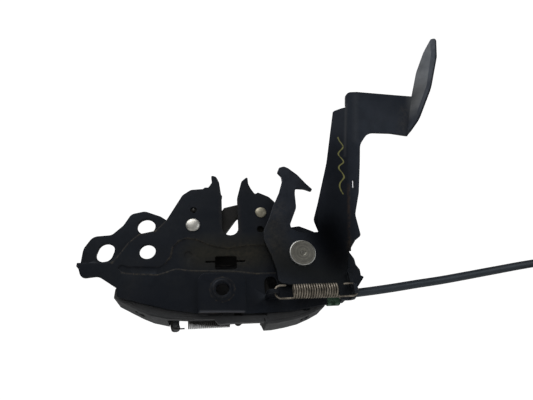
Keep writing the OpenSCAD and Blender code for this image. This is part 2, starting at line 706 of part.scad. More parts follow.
// Torsion spring behind the claw: one leg through the plate's hole, the other in the claw's hole
module claw_spring() {
    r = claw_pin_r + 1.6 + 0.4 + claw_wire_d / 2;
    y0 = catch_back + 0.3 + claw_wire_d / 2;
    rise = claw_wire_d + 0.1;
    turns = 1 + (78 + 16) / 360;
    leg = [claw_at.x + 13.5, claw_at.y + 1.5];
    helix = [for (i = [0:20]) let(a = -16 + 360 * turns * i / 20)
        [claw_at.x + r * cos(a), y0 + rise * (turns - 1) * i / 20, claw_at.y + r * sin(a)]];
    color(spring_steel) tube(concat(
        [[leg.x, catch_mid, leg.y], [leg.x, y0 - 1, leg.y],
            [leg.x - 0.4, y0 - 0.2, leg.y - 0.2], [leg.x - 1.4, y0, leg.y - 0.6]],
        helix,
        [[spring_end_at.x + 0.1, y0 + rise * (turns - 1), spring_end_at.y - 2.4],
            [spring_end_at.x, y0 + rise * (turns - 1) - 0.4, spring_end_at.y - 0.5],
            [spring_end_at.x, y0 - 1, spring_end_at.y], [spring_end_at.x, plate_front - 1, spring_end_at.y]]
    ), claw_wire_d / 2, 8, [0, 0, 1]);
}

// Open end loop of a tension spring about x, turned in the XZ plane, in that many steps
function end_loop(x, y, z, r, a0, a1, steps) =
    [for (i = [0:steps]) let(a = a0 + (a1 - a0) * i / steps) [x + r * cos(a), y, z + r * sin(a)]];

// Pawl spring: long open loop round the cover's post, coils, and a close loop round the pawl's pin
module pawl_spring() {
    y = pawl_spring_y;
    z = pawl_spring_z;
    long_r = pawl_coil_r - 0.2;
    close_r = post_r + pawl_wire_d / 2 + 0.3;
    long_x = post_x - post_r - 0.3 - pawl_wire_d / 2 + long_r;
    pitch = pawl_wire_d + 0.35;
    x0 = post_x + 8.2;
    x1 = foot_x - close_r - 3.2;
    turns = floor((x1 - x0) / pitch);
    coils = coil_along_x([y, z], pawl_coil_r, x0, (x1 - x0) / turns, turns, 8, 0);
    color(spring_steel) tube(concat(
        [[long_x + 5.6, y, z - long_r], [long_x + 2.8, y, z - long_r]],
        end_loop(long_x, y, z, long_r, -90, -270, 8),
        [[long_x + 3.2, y, z + long_r]],
        coils,
        [[x1 + 1.6, y, z + pawl_coil_r * 0.85]],
        end_loop(foot_x, y, z, close_r, 110, -140, 8)
    ), pawl_wire_d / 2, 6, [0, 1, 0]);
}

// Lever spring: coils between two open rings, one through the shelf's hole and one round the flange's neck
module lever_spring() {
    y = lever_spring_y;
    z = lever_spring_z;
    r = lever_coil_r;
    pitch = lever_wire_d + 0.4;
    left = hook_x + r;
    right = flange_x + sheet_t + 0.4 + lever_wire_d / 2 - r;
    x0 = left + 7.6;
    x1 = right - 9.6;
    turns = floor((x1 - x0) / pitch);
    coils = coil_along_x([y, z], r, x0, (x1 - x0) / turns, turns, 10, 180);
    color(spring_steel) tube(concat(
        [[left + 3.4, y, z + r], [left + 1.7, y, z + r]],
        end_loop(left, y, z, r, 90, 270, 12),
        [[left + 2.8, y, z - r], [x0 - 1.6, y - 0.1, z - r]],
        coils,
        [[x1 + 1.6, y + 0.1, z - r], [right - 3.4, y, z - r]],
        end_loop(right, y, z, r, -90, 90, 12),
        [[right - 2.4, y, z + r], [right - 4.8, y, z + r - 0.2]]
    ), lever_wire_d / 2, 6, [0, 1, 0]);
}

// Inner wire of the cable, from the nipple into the ferrule
module core_wire() {
    color(bare_steel) pin_x(core_r, nipple_x, 126);
}

module core_nipple() {
    color(bare_steel) difference() {
        pin_y([nipple_x, cable_z], nipple_r, catch_front + 0.3, catch_back - 0.3);
        pin_x(core_r, nipple_x, nipple_x + 2 * nipple_r);
    }
}

// Ferrule crimped on the sheath: snout, collar against the bracket, and blind bore for the wire
module sheath_ferrule() {
    color(bare_steel) difference() {
        union() {
            pin_x(ferrule_r - 1.1, snout_x, ferrule_x + 1);
            pin_x(ferrule_r, ferrule_x, ferrule_end);
            pin_x(ferrule_r + 0.3, bracket_x - 1.6, bracket_x);
        }
        pin_x(core_r + run_gap, snout_x - 1, ferrule_end - 1.2);
    }
}

// Plastic clip that keeps the ferrule in the bracket
module cable_clip() {
    x0 = ferrule_x + 0.5;
    x1 = bracket_x - 1.6;
    color(clip_green) difference() {
        translate([x0, 0, 0]) rotate([90, 0, 90]) linear_extrude(x1 - x0) polygon(rounded([
            [0.1, -40.2, 1], [0.1, -27.4, 1], [cable_y + 4.6, -27.4, 2.4],
            [cable_y + 4.6, -36, 2], [4.4, -40.2, 1.4]
        ]));
        pin_x(ferrule_r, x0 - 1, x1 + 1);
        block([x0 + 2.6, -1, -41], [x0 + 5.4, 3, -37.6]);
    }
}

module cable_sheath() {
    color(sheath_black) tube(concat(
        [[ferrule_end, cable_y, cable_z], [ferrule_end + 3, cable_y, cable_z]],
        sheath_route,
        [[coil_at.x - 6, cable_y, coil_top], [coil_at.x, cable_y, coil_top]]
    ), sheath_d / 2, 12, [0, 1, 0]);
}

// Outer shape of the wound turns: a ring about Y
module cable_coil() {
    deep = coil_turns_deep * sheath_d / 2;
    wide = coil_turns_wide * sheath_d / 2;
    color(sheath_black) translate([coil_at.x, cable_y, coil_at.y]) rotate([-90, 0, 0]) rotate_extrude($fn = 72)
        polygon(rounded([
            [coil_r - deep, -wide, 2.5], [coil_r + deep, -wide, 2.5],
            [coil_r + deep, wide, 2.5], [coil_r - deep, wide, 2.5]
        ]));
}

module cable_tail() {
    heights = [coil_at.y - 12, coil_at.y - 20, coil_at.y - 30, tail_end];
    color(sheath_black) tube([for (z = heights) [tail_x, tail_y, z]],
        sheath_d / 2, 12, [0, 1, 0]);
}

// Band round the wound turns, at the foot of the coil
module cable_tie() {
    deep = coil_turns_deep * sheath_d / 2;
    wide = coil_turns_wide * sheath_d / 2;
    tie_t = 1.2;
    low = coil_at.y - coil_r;
    color(cover_black) difference() {
        block([coil_at.x - 2.4, cable_y - wide - tie_t, low - deep - tie_t],
            [coil_at.x + 2.4, cable_y + wide + tie_t, low + deep + tie_t]);
        block([coil_at.x - 3, cable_y - wide, low - deep], [coil_at.x + 3, cable_y + wide, low + deep]);
    }
}

// Far end of the cable: ferrule, bare wire and ball nipple
cabin_ferrule_l = 16;
cabin_wire_l = 9;
cabin_ball_r = 3;

module cabin_ferrule() {
    color(bare_steel) translate([tail_x, tail_y, tail_end - cabin_ferrule_l]) {
        cylinder(r = ferrule_r, h = cabin_ferrule_l);
        translate([0, 0, 4]) cylinder(r = ferrule_r + 1, h = 1.6);
    }
}

module cabin_wire() {
    color(bare_steel) translate([tail_x, tail_y, tail_end - cabin_ferrule_l - cabin_wire_l])
        cylinder(r = core_r, h = cabin_wire_l);
}

module cabin_nipple() {
    top = tail_end - cabin_ferrule_l - cabin_wire_l;
    color(bare_steel) translate([tail_x, tail_y, top - 2 * cabin_ball_r]) rotate_extrude()
        polygon(rounded([
            [0, 0, 0], [cabin_ball_r, 0, 1.2], [cabin_ball_r, 2 * cabin_ball_r, 1.2], [0, 2 * cabin_ball_r, 0]
        ]));
}

base_plate();
backing_plate();
rear_cover();
claw_pivot_rivet();
pawl_pivot_rivet();
lever_pivot_rivet();
lever_spacer();
claw();
pawl();
safety_lever();
claw_spring();
pawl_spring();
lever_spring();
core_wire();
core_nipple();
sheath_ferrule();
cable_clip();
cable_sheath();
cable_coil();
cable_tail();
cable_tie();
cabin_ferrule();
cabin_wire();
cabin_nipple();
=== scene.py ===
"""Bonnet latch: its looks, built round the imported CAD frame.

Metres, in the CAD part's own frame: X to the right, Z up, and the front of the latch looks along -Y.
"""

import logging
import math
from dataclasses import dataclass, field
from enum import Enum

import bmesh
import bpy
import numpy as np
from mathutils import Matrix, Vector
from mathutils.bvhtree import BVHTree
from mathutils.kdtree import KDTree


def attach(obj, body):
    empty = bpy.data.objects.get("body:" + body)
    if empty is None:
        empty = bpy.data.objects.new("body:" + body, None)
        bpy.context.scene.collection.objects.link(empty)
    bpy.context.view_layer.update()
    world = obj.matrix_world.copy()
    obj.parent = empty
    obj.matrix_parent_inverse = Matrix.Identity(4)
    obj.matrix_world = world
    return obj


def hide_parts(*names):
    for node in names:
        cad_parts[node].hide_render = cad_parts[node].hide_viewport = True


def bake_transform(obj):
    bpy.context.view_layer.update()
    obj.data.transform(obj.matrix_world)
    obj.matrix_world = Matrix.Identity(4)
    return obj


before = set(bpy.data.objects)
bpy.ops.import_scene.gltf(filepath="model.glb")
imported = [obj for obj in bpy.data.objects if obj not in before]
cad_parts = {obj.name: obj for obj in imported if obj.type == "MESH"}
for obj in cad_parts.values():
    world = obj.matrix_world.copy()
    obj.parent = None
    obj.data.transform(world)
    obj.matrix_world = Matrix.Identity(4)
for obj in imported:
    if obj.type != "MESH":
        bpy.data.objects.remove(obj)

log = logging.getLogger("bonnet_latch")
MM = 0.001

Point = tuple[float, float, float]
Colour = tuple[float, float, float]
Spot = tuple[float, float]
Span = tuple[float, float]
Socket = bpy.types.NodeSocket


class Body(Enum):
    """CAD bodies that these pieces ride on."""

    BASE = "base"
    CLAW = "claw"
    PAWL = "pawl"
    LEVER = "lever"


class Slot(Enum):
    """Material slots of the record that these pieces take."""

    PLATE = "black_plate"
    DARK_STEEL = "dark_steel"
    SPRING = "spring_wire"
    PLASTIC = "black_plastic"
    GREEN = "green_plastic"
    SHEATH = "sheath_plastic"


def mm(*values: float) -> Vector:
    """A point or size given in millimetres, in metres."""
    return Vector(values) * MM


# Camera and light


@dataclass(frozen=True)
class Shot:
    """The photograph's camera: below the latch, a little to its left, looking up.

    Its place is in millimetres, and right and up are directions in the picture.
    """

    place: Point = (41.5, -252.6, -106.2)
    right: Point = (0.9892, -0.1264, -0.0740)
    up: Point = (0.0, -0.5054, 0.8628)
    lens: float = 26.0
    sensor: float = 36.0
    clip: Span = (0.005, 20.0)

    def build(self) -> bpy.types.Object:
        """Makes the scene's camera.

        Returns:
            The camera object.
        """
        data = bpy.data.cameras.new("shot")
        data.lens, data.sensor_width = self.lens, self.sensor
        data.clip_start, data.clip_end = self.clip
        camera = bpy.data.objects.new("shot", data)
        x = Vector(self.right).normalized()
        z = x.cross(Vector(self.up)).normalized()
        y = z.cross(x)
        axes = Matrix((x, y, z)).transposed().to_4x4()
        camera.matrix_world = Matrix.Translation(mm(*self.place)) @ axes
        bpy.context.scene.collection.objects.link(camera)
        bpy.context.scene.camera = camera
        return camera


@dataclass(frozen=True)
class Lamp:
    """One soft area light, aimed at the middle of the latch.

    Places are in millimetres, its size in metres and its power in watts.
    """

    name: str
    place: Point
    size: float
    power: float
    tint: Colour = (1.0, 1.0, 1.0)
    aim: Point = (85.0, 0.0, 20.0)

    def build(self) -> bpy.types.Object:
        """Makes the light.

        Returns:
            The light object.
        """
        data = bpy.data.lights.new(self.name, "AREA")
        data.size, data.energy, data.color = self.size, self.power, self.tint
        lamp = bpy.data.objects.new(self.name, data)
        lamp.location = mm(*self.place)
        lamp.rotation_mode = "QUATERNION"
        lamp.rotation_quaternion = (mm(*self.aim) - lamp.location).to_track_quat("-Z", "Y")
        bpy.context.scene.collection.objects.link(lamp)
        return lamp


@dataclass
class Studio:
    """Pale floor that fades to white, white surround that only the camera sees, dim world, soft lights.

    Heights are in millimetres, and the radii of floor, fade and surround in metres.
    """

    floor_z: float = -190.0
    floor_size: float = 1.6
    floor_sides: int = 64
    floor_colour: Colour = (0.82, 0.82, 0.81)
    matt: float = 0.9
    fade_lift: float = 1.0
    fade: Span = (0.35, 1.1)
    surround: float = 4.0
    surround_rings: int = 25
    surround_sides: int = 48
    surround_pole: float = 0.02
    world: float = 0.05
    lamps: tuple[Lamp, ...] = (
        Lamp("top", (-180, -230, 640), 0.7, 5.0, (0.96, 0.98, 1.0)),
        Lamp("front", (-120, -760, 240), 0.5, 0.7),
        Lamp("side", (560, -480, 110), 0.42, 1.15, (0.92, 0.96, 1.0)),
        Lamp("back", (140, 560, 420), 0.6, 2.0),
    )

    def build(self) -> None:
        """Makes world, floor with its fade, surround and lights."""
        scene = bpy.context.scene
        scene.view_settings.view_transform = "Standard"
        world = bpy.data.worlds.new("studio")
        world.use_nodes = True
        background = world.node_tree.nodes["Background"]
        background.inputs["Color"].default_value = (1, 1, 1, 1)
        background.inputs["Strength"].default_value = self.world
        scene.world = world
        floor = self._disc("floor", self.floor_z * MM)
        floor.data.materials.append(self._plain("pale_floor", self.floor_colour, 0.0))
        veil = self._disc("floor_fade", (self.floor_z + self.fade_lift) * MM)
        veil.data.materials.append(self._veil())
        for sheet in (floor, veil):
            self._clear_below(sheet.data.materials[0])
        dome = self._dome()
        dome.data.materials.append(self._plain("white_surround", (1, 1, 1), 1.0))
        for flag in ("diffuse", "glossy", "transmission", "volume_scatter", "shadow"):
            setattr(dome, f"visible_{flag}", False)
            setattr(veil, f"visible_{flag}", False)
        for lamp in self.lamps:
            lamp.build()

    def _plain(self, name: str, colour: Colour, glow: float) -> bpy.types.Material:
        """A matt material, or a glowing one where glow is above zero.

        Args:
            name: Name of the material.
            colour: Its colour, and the colour of its glow.
            glow: Strength of its own light.

        Returns:
            The material.
        """
        made = bpy.data.materials.new(name)
        made.use_nodes = True
        shader = made.node_tree.nodes["Principled BSDF"]
        shader.inputs["Base Color"].default_value = rgb(*colour)
        shader.inputs["Roughness"].default_value = self.matt
        shader.inputs["Emission Color"].default_value = rgb(*colour)
        shader.inputs["Emission Strength"].default_value = glow
        return made

    def _veil(self) -> bpy.types.Material:
        """Clear in the middle, and white light from the fade's first to its second radius.

        Returns:
            The material.
        """
        made = bpy.data.materials.new("floor_veil")
        made.use_nodes = True
        g = Graph(made.node_tree)
        flat = g.vector("MULTIPLY", g.node("ShaderNodeTexCoord").outputs["Object"], (1, 1, 0))
        mix = g.node("ShaderNodeMixShader")
        g.link(g.ramp(g.vector("LENGTH", flat, out="Value"), *self.fade), mix.inputs[0])
        g.link(g.node("ShaderNodeBsdfTransparent").outputs[0], mix.inputs[1])
        g.link(g.node("ShaderNodeEmission").outputs[0], mix.inputs[2])
        g.link(mix.outputs[0], made.node_tree.nodes["Material Output"].inputs["Surface"])
        return made

    def _clear_below(self, material: bpy.types.Material) -> None:
        """Makes the underside of a floor clear, so that it doesn't hide the latch from below.

        Args:
            material: The floor's material, which gets a clear shader on its back.
        """
        g = Graph(material.node_tree)
        surface = material.node_tree.nodes["Material Output"].inputs["Surface"]
        mix = g.node("ShaderNodeMixShader")
        g.link(g.node("ShaderNodeNewGeometry").outputs["Backfacing"], mix.inputs[0])
        g.link(surface.links[0].from_socket, mix.inputs[1])
        g.link(g.node("ShaderNodeBsdfTransparent").outputs[0], mix.inputs[2])
        g.link(mix.outputs[0], surface)

    def _disc(self, name: str, z: float) -> bpy.types.Object:
        """A flat round floor: points of a circle at one height, and one face.

        Args:
            name: Name of the piece.
            z: Its height in metres.

        Returns:
            The piece.
        """
        turn = np.linspace(0, 2 * np.pi, self.floor_sides, endpoint=False)
        circle = self.floor_size * np.cos(turn), self.floor_size * np.sin(turn)
        points = np.stack([*circle, np.full(self.floor_sides, z)], 1)
        return new_piece(name, points, [list(range(self.floor_sides))])

    def _dome(self) -> bpy.types.Object:
        """A closed sphere round the whole scene: rings of constant height on a ball.

        Returns:
            The piece.
        """
        turn = np.linspace(0, 2 * np.pi, self.surround_sides, endpoint=False)
        top = np.pi / 2 - self.surround_pole
        height = np.linspace(-top, top, self.surround_rings)
        grid = np.stack(
            [
                np.outer(np.cos(height), np.cos(turn)),
                np.outer(np.cos(height), np.sin(turn)),
                np.outer(np.sin(height), np.ones(self.surround_sides)),
            ],
            2,
        )
        faces = tube_faces(self.surround_rings, self.surround_sides)
        return new_piece("surround", self.surround * grid.reshape(-1, 3), faces)


# Meshes from formulas


def new_piece(
    name: str, points: np.ndarray, faces: list[list[int]], smooth: bool = False
) -> bpy.types.Object:
    """A mesh object at the origin from points and faces.

    Args:
        name: Name of the object and its mesh.
        points: One row of x, y, z for each vertex, in metres.
        faces: Vertex numbers of each face.
        smooth: Whether the faces are shaded smooth.

    Returns:
        The new object, linked to the scene.
    """
    mesh = bpy.data.meshes.new(name)
    mesh.from_pydata(points.tolist(), [], faces)
    mesh.polygons.foreach_set("use_smooth", [smooth] * len(mesh.polygons))
    mesh.update()
    piece = bpy.data.objects.new(name, mesh)
    bpy.context.scene.collection.objects.link(piece)
    return piece


def tube_faces(rings: int, sides: int) -> list[list[int]]:
    """Faces of a closed tube: quads between rings that follow each other, and one face at each end.

    Args:
        rings: Rings along the tube.
        sides: Points in each ring.

    Returns:
        Vertex numbers of each face.
    """
    quads = [
        [i * sides + k, i * sides + (k + 1) % sides, (i + 1) * sides + (k + 1) % sides, (i + 1) * sides + k]
        for i in range(rings - 1)
        for k in range(sides)
    ]
    last = (rings - 1) * sides
    return quads + [list(range(sides))[::-1], [last + k for k in range(sides)]]


# A direction that no spring or cable starts along
ASKEW = (0.3, 0.5, 0.81)


def swept(path: np.ndarray, radius: float, sides: int) -> np.ndarray:
    """Points of a round tube along a path.

    Each ring is a circle square to the path. Its first direction is the one before it with its part along
    the path taken away, so the rings don't twist.

    Args:
        path: Points of the centre line.
        radius: Radius of the tube.
        sides: Points in each ring.

    Returns:
        Ring after ring of points.
    """
    ahead = np.gradient(path, axis=0)
    ahead /= np.linalg.norm(ahead, axis=1)[:, None]
    first = np.empty_like(path)
    side = np.cross(ahead[0], ASKEW)
    for i, t in enumerate(ahead):
        side = side - (side @ t) * t
        side /= np.linalg.norm(side)
        first[i] = side
    second = np.cross(ahead, first)
    turn = np.linspace(0, 2 * np.pi, sides, endpoint=False)
    ring = np.cos(turn)[None, :, None] * first[:, None] + np.sin(turn)[None, :, None] * second[:, None]
    return (path[:, None] + radius * ring).reshape(-1, 3)


def smooth_path(points: np.ndarray, between: int) -> np.ndarray:
    """Points of a smooth line through the given ones: a Catmull-Rom cubic between each two neighbours.

    Args:
        points: Points that the line goes through.
        between: Steps from each point to the next.

    Returns:
        Points of the line, with the last given one at its end.
    """
    padded = np.vstack([2 * points[0] - points[1], points, 2 * points[-1] - points[-2]])
    u = np.linspace(0, 1, between, endpoint=False)[:, None]
    parts = []
    for a, b, c, d in zip(padded, padded[1:], padded[2:], padded[3:]):
        square = 2 * a - 5 * b + 4 * c - d
        cube = 3 * b - a - 3 * c + d
        parts.append(0.5 * (2 * b + (c - a) * u + square * u**2 + cube * u**3))
    return np.vstack([*parts, points[-1:]])


@dataclass(frozen=True)
class Skin:
    """Copy of a CAD node's mesh, merged, with a small round along its sharp edges.

    Where a round would fold a face over, as at corners tighter than the round, the edges stay sharp. A face
    counts as folded if it is larger than speck, and no CAD face within round and near together looks its
    way, with agree as the least cosine. Edges within spread rounds of its points then stay sharp. The point
    attribute edge is 1 along the middle of each round and 0 on the flats beside it. Lengths are in
    millimetres, speck in square millimetres and angles in degrees.
    """

    node: str
    body: Body
    slot: Slot
    round: float = 0.35
    sharp: float = 28.0
    flat: float = 0.6
    crease: float = 50.0
    merge: float = 0.002
    speck: float = 0.001
    near: float = 0.15
    agree: float = 0.3
    spread: float = 1.8
    tries: int = 6

    def build(self) -> bpy.types.Object:
        """Makes the piece, which stands for its CAD node.

        Returns:
            The piece.
        """
        surface = self._merged()
        bmesh.ops.triangulate(surface, faces=surface.faces)
        surface.faces.ensure_lookup_table()
        corners: set[int] = set()
        for _ in range(self.tries):
            work = self._merged()
            found = self._finder(work)
            self._rounded(work, corners)
            folded = self._folded(work, surface)
            if not folded:
                break
            for point in folded:
                corners.update(hit[1] for hit in found.find_range(point, self.spread * self.round * MM))
            work.free()
        surface.free()
        log.info("%s: %d corners left sharp", self.node, len(corners))
        return self._finish(work)

    def _merged(self) -> bmesh.types.BMesh:
        """The node's mesh with equal points merged and flat faces joined.

        Returns:
            A new mesh to work on.
        """
        work = bmesh.new()
        work.from_mesh(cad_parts[self.node].data)
        bmesh.ops.remove_doubles(work, verts=work.verts, dist=self.merge * MM)
        bmesh.ops.dissolve_limit(
            work,
            angle_limit=math.radians(self.flat),
            verts=work.verts,
            edges=work.edges,
            use_dissolve_boundaries=False,
        )
        work.verts.ensure_lookup_table()
        return work

    def _finder(self, work: bmesh.types.BMesh) -> KDTree:
        """Tree of a mesh's points by their number.

        Args:
            work: The mesh.

        Returns:
            The tree, ready to search.
        """
        found = KDTree(len(work.verts))
        for v in work.verts:
            found.insert(v.co, v.index)
        found.balance()
        return found

    def _rounded(self, work: bmesh.types.BMesh, corners: set[int]) -> None:
        """Rounds the sharp edges that end at none of the corners, and writes the attribute edge.

        Args:
            work: The mesh, which is changed.
            corners: Numbers of the points that stay sharp.
        """
        edges = [
            e for e in work.edges
            if len(e.link_faces) == 2
            and e.calc_face_angle(0.0) > math.radians(self.sharp)
            and not corners.intersection(v.index for v in e.verts)
        ]
        made = bmesh.ops.bevel(
            work, geom=edges, offset=self.round * MM, offset_type="OFFSET", segments=2, profile=0.5,
            affect="EDGES", clamp_overlap=False, loop_slide=False,
        )
        rounds = set(made["faces"])
        layer = work.verts.layers.float.new("edge")
        for v in work.verts:
            v[layer] = 1.0 if v.link_faces and all(f in rounds for f in v.link_faces) else 0.0
        for f in work.faces:
            f.smooth = f in rounds
        bmesh.ops.triangulate(work, faces=[f for f in work.faces if len(f.verts) > 4])

    def _folded(self, work: bmesh.types.BMesh, surface: bmesh.types.BMesh) -> list[Vector]:
        """Finds the faces that look against every part of the CAD surface near them.

        Args:
            work: The rounded mesh.
            surface: The CAD surface in triangles.

        Returns:
            The points of those faces.
        """
        tree = BVHTree.FromBMesh(surface)
        points = []
        for f in work.faces:
            if f.calc_area() < self.speck * MM * MM:
                continue
            near = tree.find_nearest_range(f.calc_center_median(), (self.round + self.near) * MM)
            if not any(f.normal.dot(hit[1]) > self.agree for hit in near):
                points.extend(v.co.copy() for v in f.verts)
        return points

    def _finish(self, work: bmesh.types.BMesh) -> bpy.types.Object:
        """Makes the piece, smooth on its rounds and gently curved faces and flat elsewhere.

        Args:
            work: The rounded mesh, which is freed.

        Returns:
            The piece.
        """
        low, high = math.radians(self.flat), math.radians(self.sharp)
        for f in work.faces:
            turns = [e.calc_face_angle(0.0) for e in f.edges if len(e.link_faces) == 2]
            f.smooth = f.smooth or any(low < a < high for a in turns)
        mesh = bpy.data.meshes.new(f"{self.node}_skin")
        work.to_mesh(mesh)
        work.free()
        mesh.set_sharp_from_angle(angle=math.radians(self.crease))
        piece = bpy.data.objects.new(mesh.name, mesh)
        bpy.context.scene.collection.objects.link(piece)
        weighted = piece.modifiers.new("weighted", "WEIGHTED_NORMAL")
        weighted.keep_sharp = True
        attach(piece, self.body.value)
        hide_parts(self.node)
        return piece


# Cable


@dataclass(frozen=True)
class ReleaseCable:
    """Sheathed cable from its ferrule to the stored coil and its tail, as one tube.

    Lengths are in millimetres. The tube's radius is the CAD tube's times fit.
    """

    diameter: float = 6.0
    y: float = 3.5
    start: Spot = (137.0, -32.0)
    route: tuple[Spot, ...] = (
        (144, -31.8), (160, -30.4), (175, -28.8), (190, -27), (210, -24.8), (228, -22.4),
        (246, -19.9), (264, -17.4), (280, -15.2), (296, -13.3), (310, -12), (322, -11.4), (332, -11.2),
    )
    coil_x: float = 338.0
    coil_top: float = -11.2
    coil_radius: float = 33.0
    coil_turns: float = 6.25
    moves_on: float = 0.6
    tail_end: float = -84.0
    per_turn: int = 28
    sides: int = 14
    fit: float = 0.995

    def path(self) -> np.ndarray:
        """Centre line: a smooth run, the wound turns, and a straight tail.

        Turn k fills one place of the coil's section, three deep in Y and two wide, and moves on to the next
        place over its last part, by a smooth step.

        Returns:
            Points of the line in metres.
        """
        spots = (self.start, *self.route, (self.coil_x, self.coil_top))
        run = smooth_path(np.array([(x, self.y, z) for x, z in spots]), 3)
        step = self.diameter / 2
        outer, inner = self.coil_radius + step, self.coil_radius - step
        places = [(outer, 0), (outer, -1), (inner, -1), (inner, 0), (inner, 1), (outer, 1), (outer, 1)]
        turns = []
        for i in range(1, int(self.coil_turns * self.per_turn) + 1):
            k, share = divmod(i / self.per_turn, 1)
            now = np.array(places[int(k)])
            following = np.array(places[min(int(k) + 1, len(places) - 1)])
            u = np.clip((share - self.moves_on) / (1 - self.moves_on), 0, 1)
            radius, layer = now + (following - now) * u * u * (3 - 2 * u)
            a = 2 * np.pi * share
            turns.append(
                (
                    self.coil_x + radius * np.sin(a),
                    self.y + layer * self.diameter,
                    self.coil_top - outer + radius * np.cos(a),
                )
            )
        bottom = turns[-1]
        tail = [(bottom[0], bottom[1], z) for z in np.linspace(bottom[2], self.tail_end, 5)[1:]]
        return np.vstack([run, turns, tail]) * MM

    def build(self) -> bpy.types.Object:
        """Returns:
            The cable's piece.
        """
        path = self.path()
        tube = swept(path, self.diameter / 2 * MM * self.fit, self.sides)
        cable = new_piece("release_cable", tube, tube_faces(len(path), self.sides), True)
        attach(cable, Body.BASE.value)
        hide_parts("cable_sheath", "cable_coil", "cable_tail")
        return cable


# Springs


def arc(x: float, y: float, z: float, r: float, first: float, last: float) -> tuple[Point, ...]:
    """Points of an arc about x, z in the plane at y, from one angle to another in degrees."""
    turn = np.radians(np.linspace(first, last, 13))
    return tuple((x + r * math.cos(a), y, z + r * math.sin(a)) for a in turn)


@dataclass(frozen=True)
class CoilSpring:
    """Tension spring along X: end, close coils, end.

    The coils are a helix: each point is the axis moved along X with the angle, plus the mean radius turned
    by it. Lengths are in millimetres, and start, the first angle, is in degrees.
    """

    name: str
    node: str
    axis: Spot
    mean: float
    wire: float
    coils: Span
    turns: int
    start: float
    head: tuple[Point, ...]
    foot: tuple[Point, ...]
    moving: Body
    per_turn: int = 18
    sides: int = 10
    between: int = 4

    def build(self) -> bpy.types.Object:
        """Makes the spring, stretched between the base and the body it pulls.

        Returns:
            The spring's piece.
        """
        y, z = self.axis
        a = np.linspace(0, 2 * np.pi * self.turns, self.turns * self.per_turn + 1) + math.radians(self.start)
        x = np.linspace(*self.coils, len(a))
        helix = np.stack([x, y + self.mean * np.sin(a), z + self.mean * np.cos(a)], 1)
        head, foot = (smooth_path(np.array(end), self.between) for end in (self.head, self.foot))
        path = np.vstack([head, helix, foot]) * MM
        tube = swept(path, self.wire / 2 * MM, self.sides)
        spring = new_piece(self.name, tube, tube_faces(len(path), self.sides), True)
        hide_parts(self.node)
        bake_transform(spring)
        return spring


@dataclass(frozen=True)
class TorsionSpring:
    """Spring round the claw's rivet: a leg in the claw, a turn and more, and a leg through the plate's hole.

    The turn is a helix along Y: each point is the pivot plus the mean radius turned by the angle. Lengths
    are in millimetres, and sweep, the first and last angle, is in degrees.
    """

    pivot: Spot = (29.8, 19.6)
    mean: float = 6.8
    wire: float = 1.6
    y: float = 7.1
    rise: float = 0.45
    sweep: Span = (-16.0, 438.0)
    claw_leg: Spot = (43.3, 21.1)
    claw_end: float = 3.5
    plate_leg: Spot = (30.0, 31.8)
    plate_end: float = -3.55
    steps: int = 64
    sides: int = 12
    between: int = 4

    def build(self) -> bpy.types.Object:
        """Makes the spring, turned between the base and the claw.

        Returns:
            The spring's piece.
        """
        x, z = self.pivot
        a = np.radians(np.linspace(*self.sweep, self.steps))
        y = self.y + np.linspace(0, self.rise, self.steps)
        helix = np.stack([x + self.mean * np.cos(a), y, z + self.mean * np.sin(a)], 1)
        cx, cz = self.claw_leg
        px, pz = self.plate_leg
        leg = (
            (cx, self.claw_end, cz),
            (cx, self.y - 1, cz),
            (cx - 0.4, self.y - 0.2, cz - 0.2),
            (cx - 1.4, self.y, cz - 0.6),
        )
        end = (
            (px + 0.1, y[-1], pz - 2.4),
            (px, y[-1] - 0.4, pz - 0.5),
            (px, self.y - 1, pz),
            (px, self.plate_end, pz),
        )
        first, last = (smooth_path(np.array(points), self.between) for points in (leg, end))
        path = np.vstack([first, helix, last]) * MM
        tube = swept(path, self.wire / 2 * MM, self.sides)
        spring = new_piece("claw_spring_wire", tube, tube_faces(len(path), self.sides), True)
        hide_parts("claw_spring")
        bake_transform(spring)
        return spring


# Trim


@dataclass(frozen=True)
class CoverLip:
    """Thin lip of the rear cover, from its rim up behind the plate's lower edge, on one side of the spring.

    Each ring across it is a rectangle between a point of the outer line and one of the inner line, front to
    back, in millimetres.
    """

    name: str
    outer: tuple[Spot, ...]
    inner: tuple[Spot, ...]
    front: float = 0.5
    back: float = 2.5

    def build(self) -> bpy.types.Object:
        """Makes the lip.

        Returns:
            The lip's piece.
        """
        rings = [
            ((ox, self.front, oz), (ox, self.back, oz), (ix, self.back, iz), (ix, self.front, iz))
            for (ox, oz), (ix, iz) in zip(self.outer, self.inner)
        ]
        lip = new_piece(self.name, np.array(rings).reshape(-1, 3) * MM, tube_faces(len(rings), 4))
        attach(lip, Body.BASE.value)
        return lip


# Shader node groups


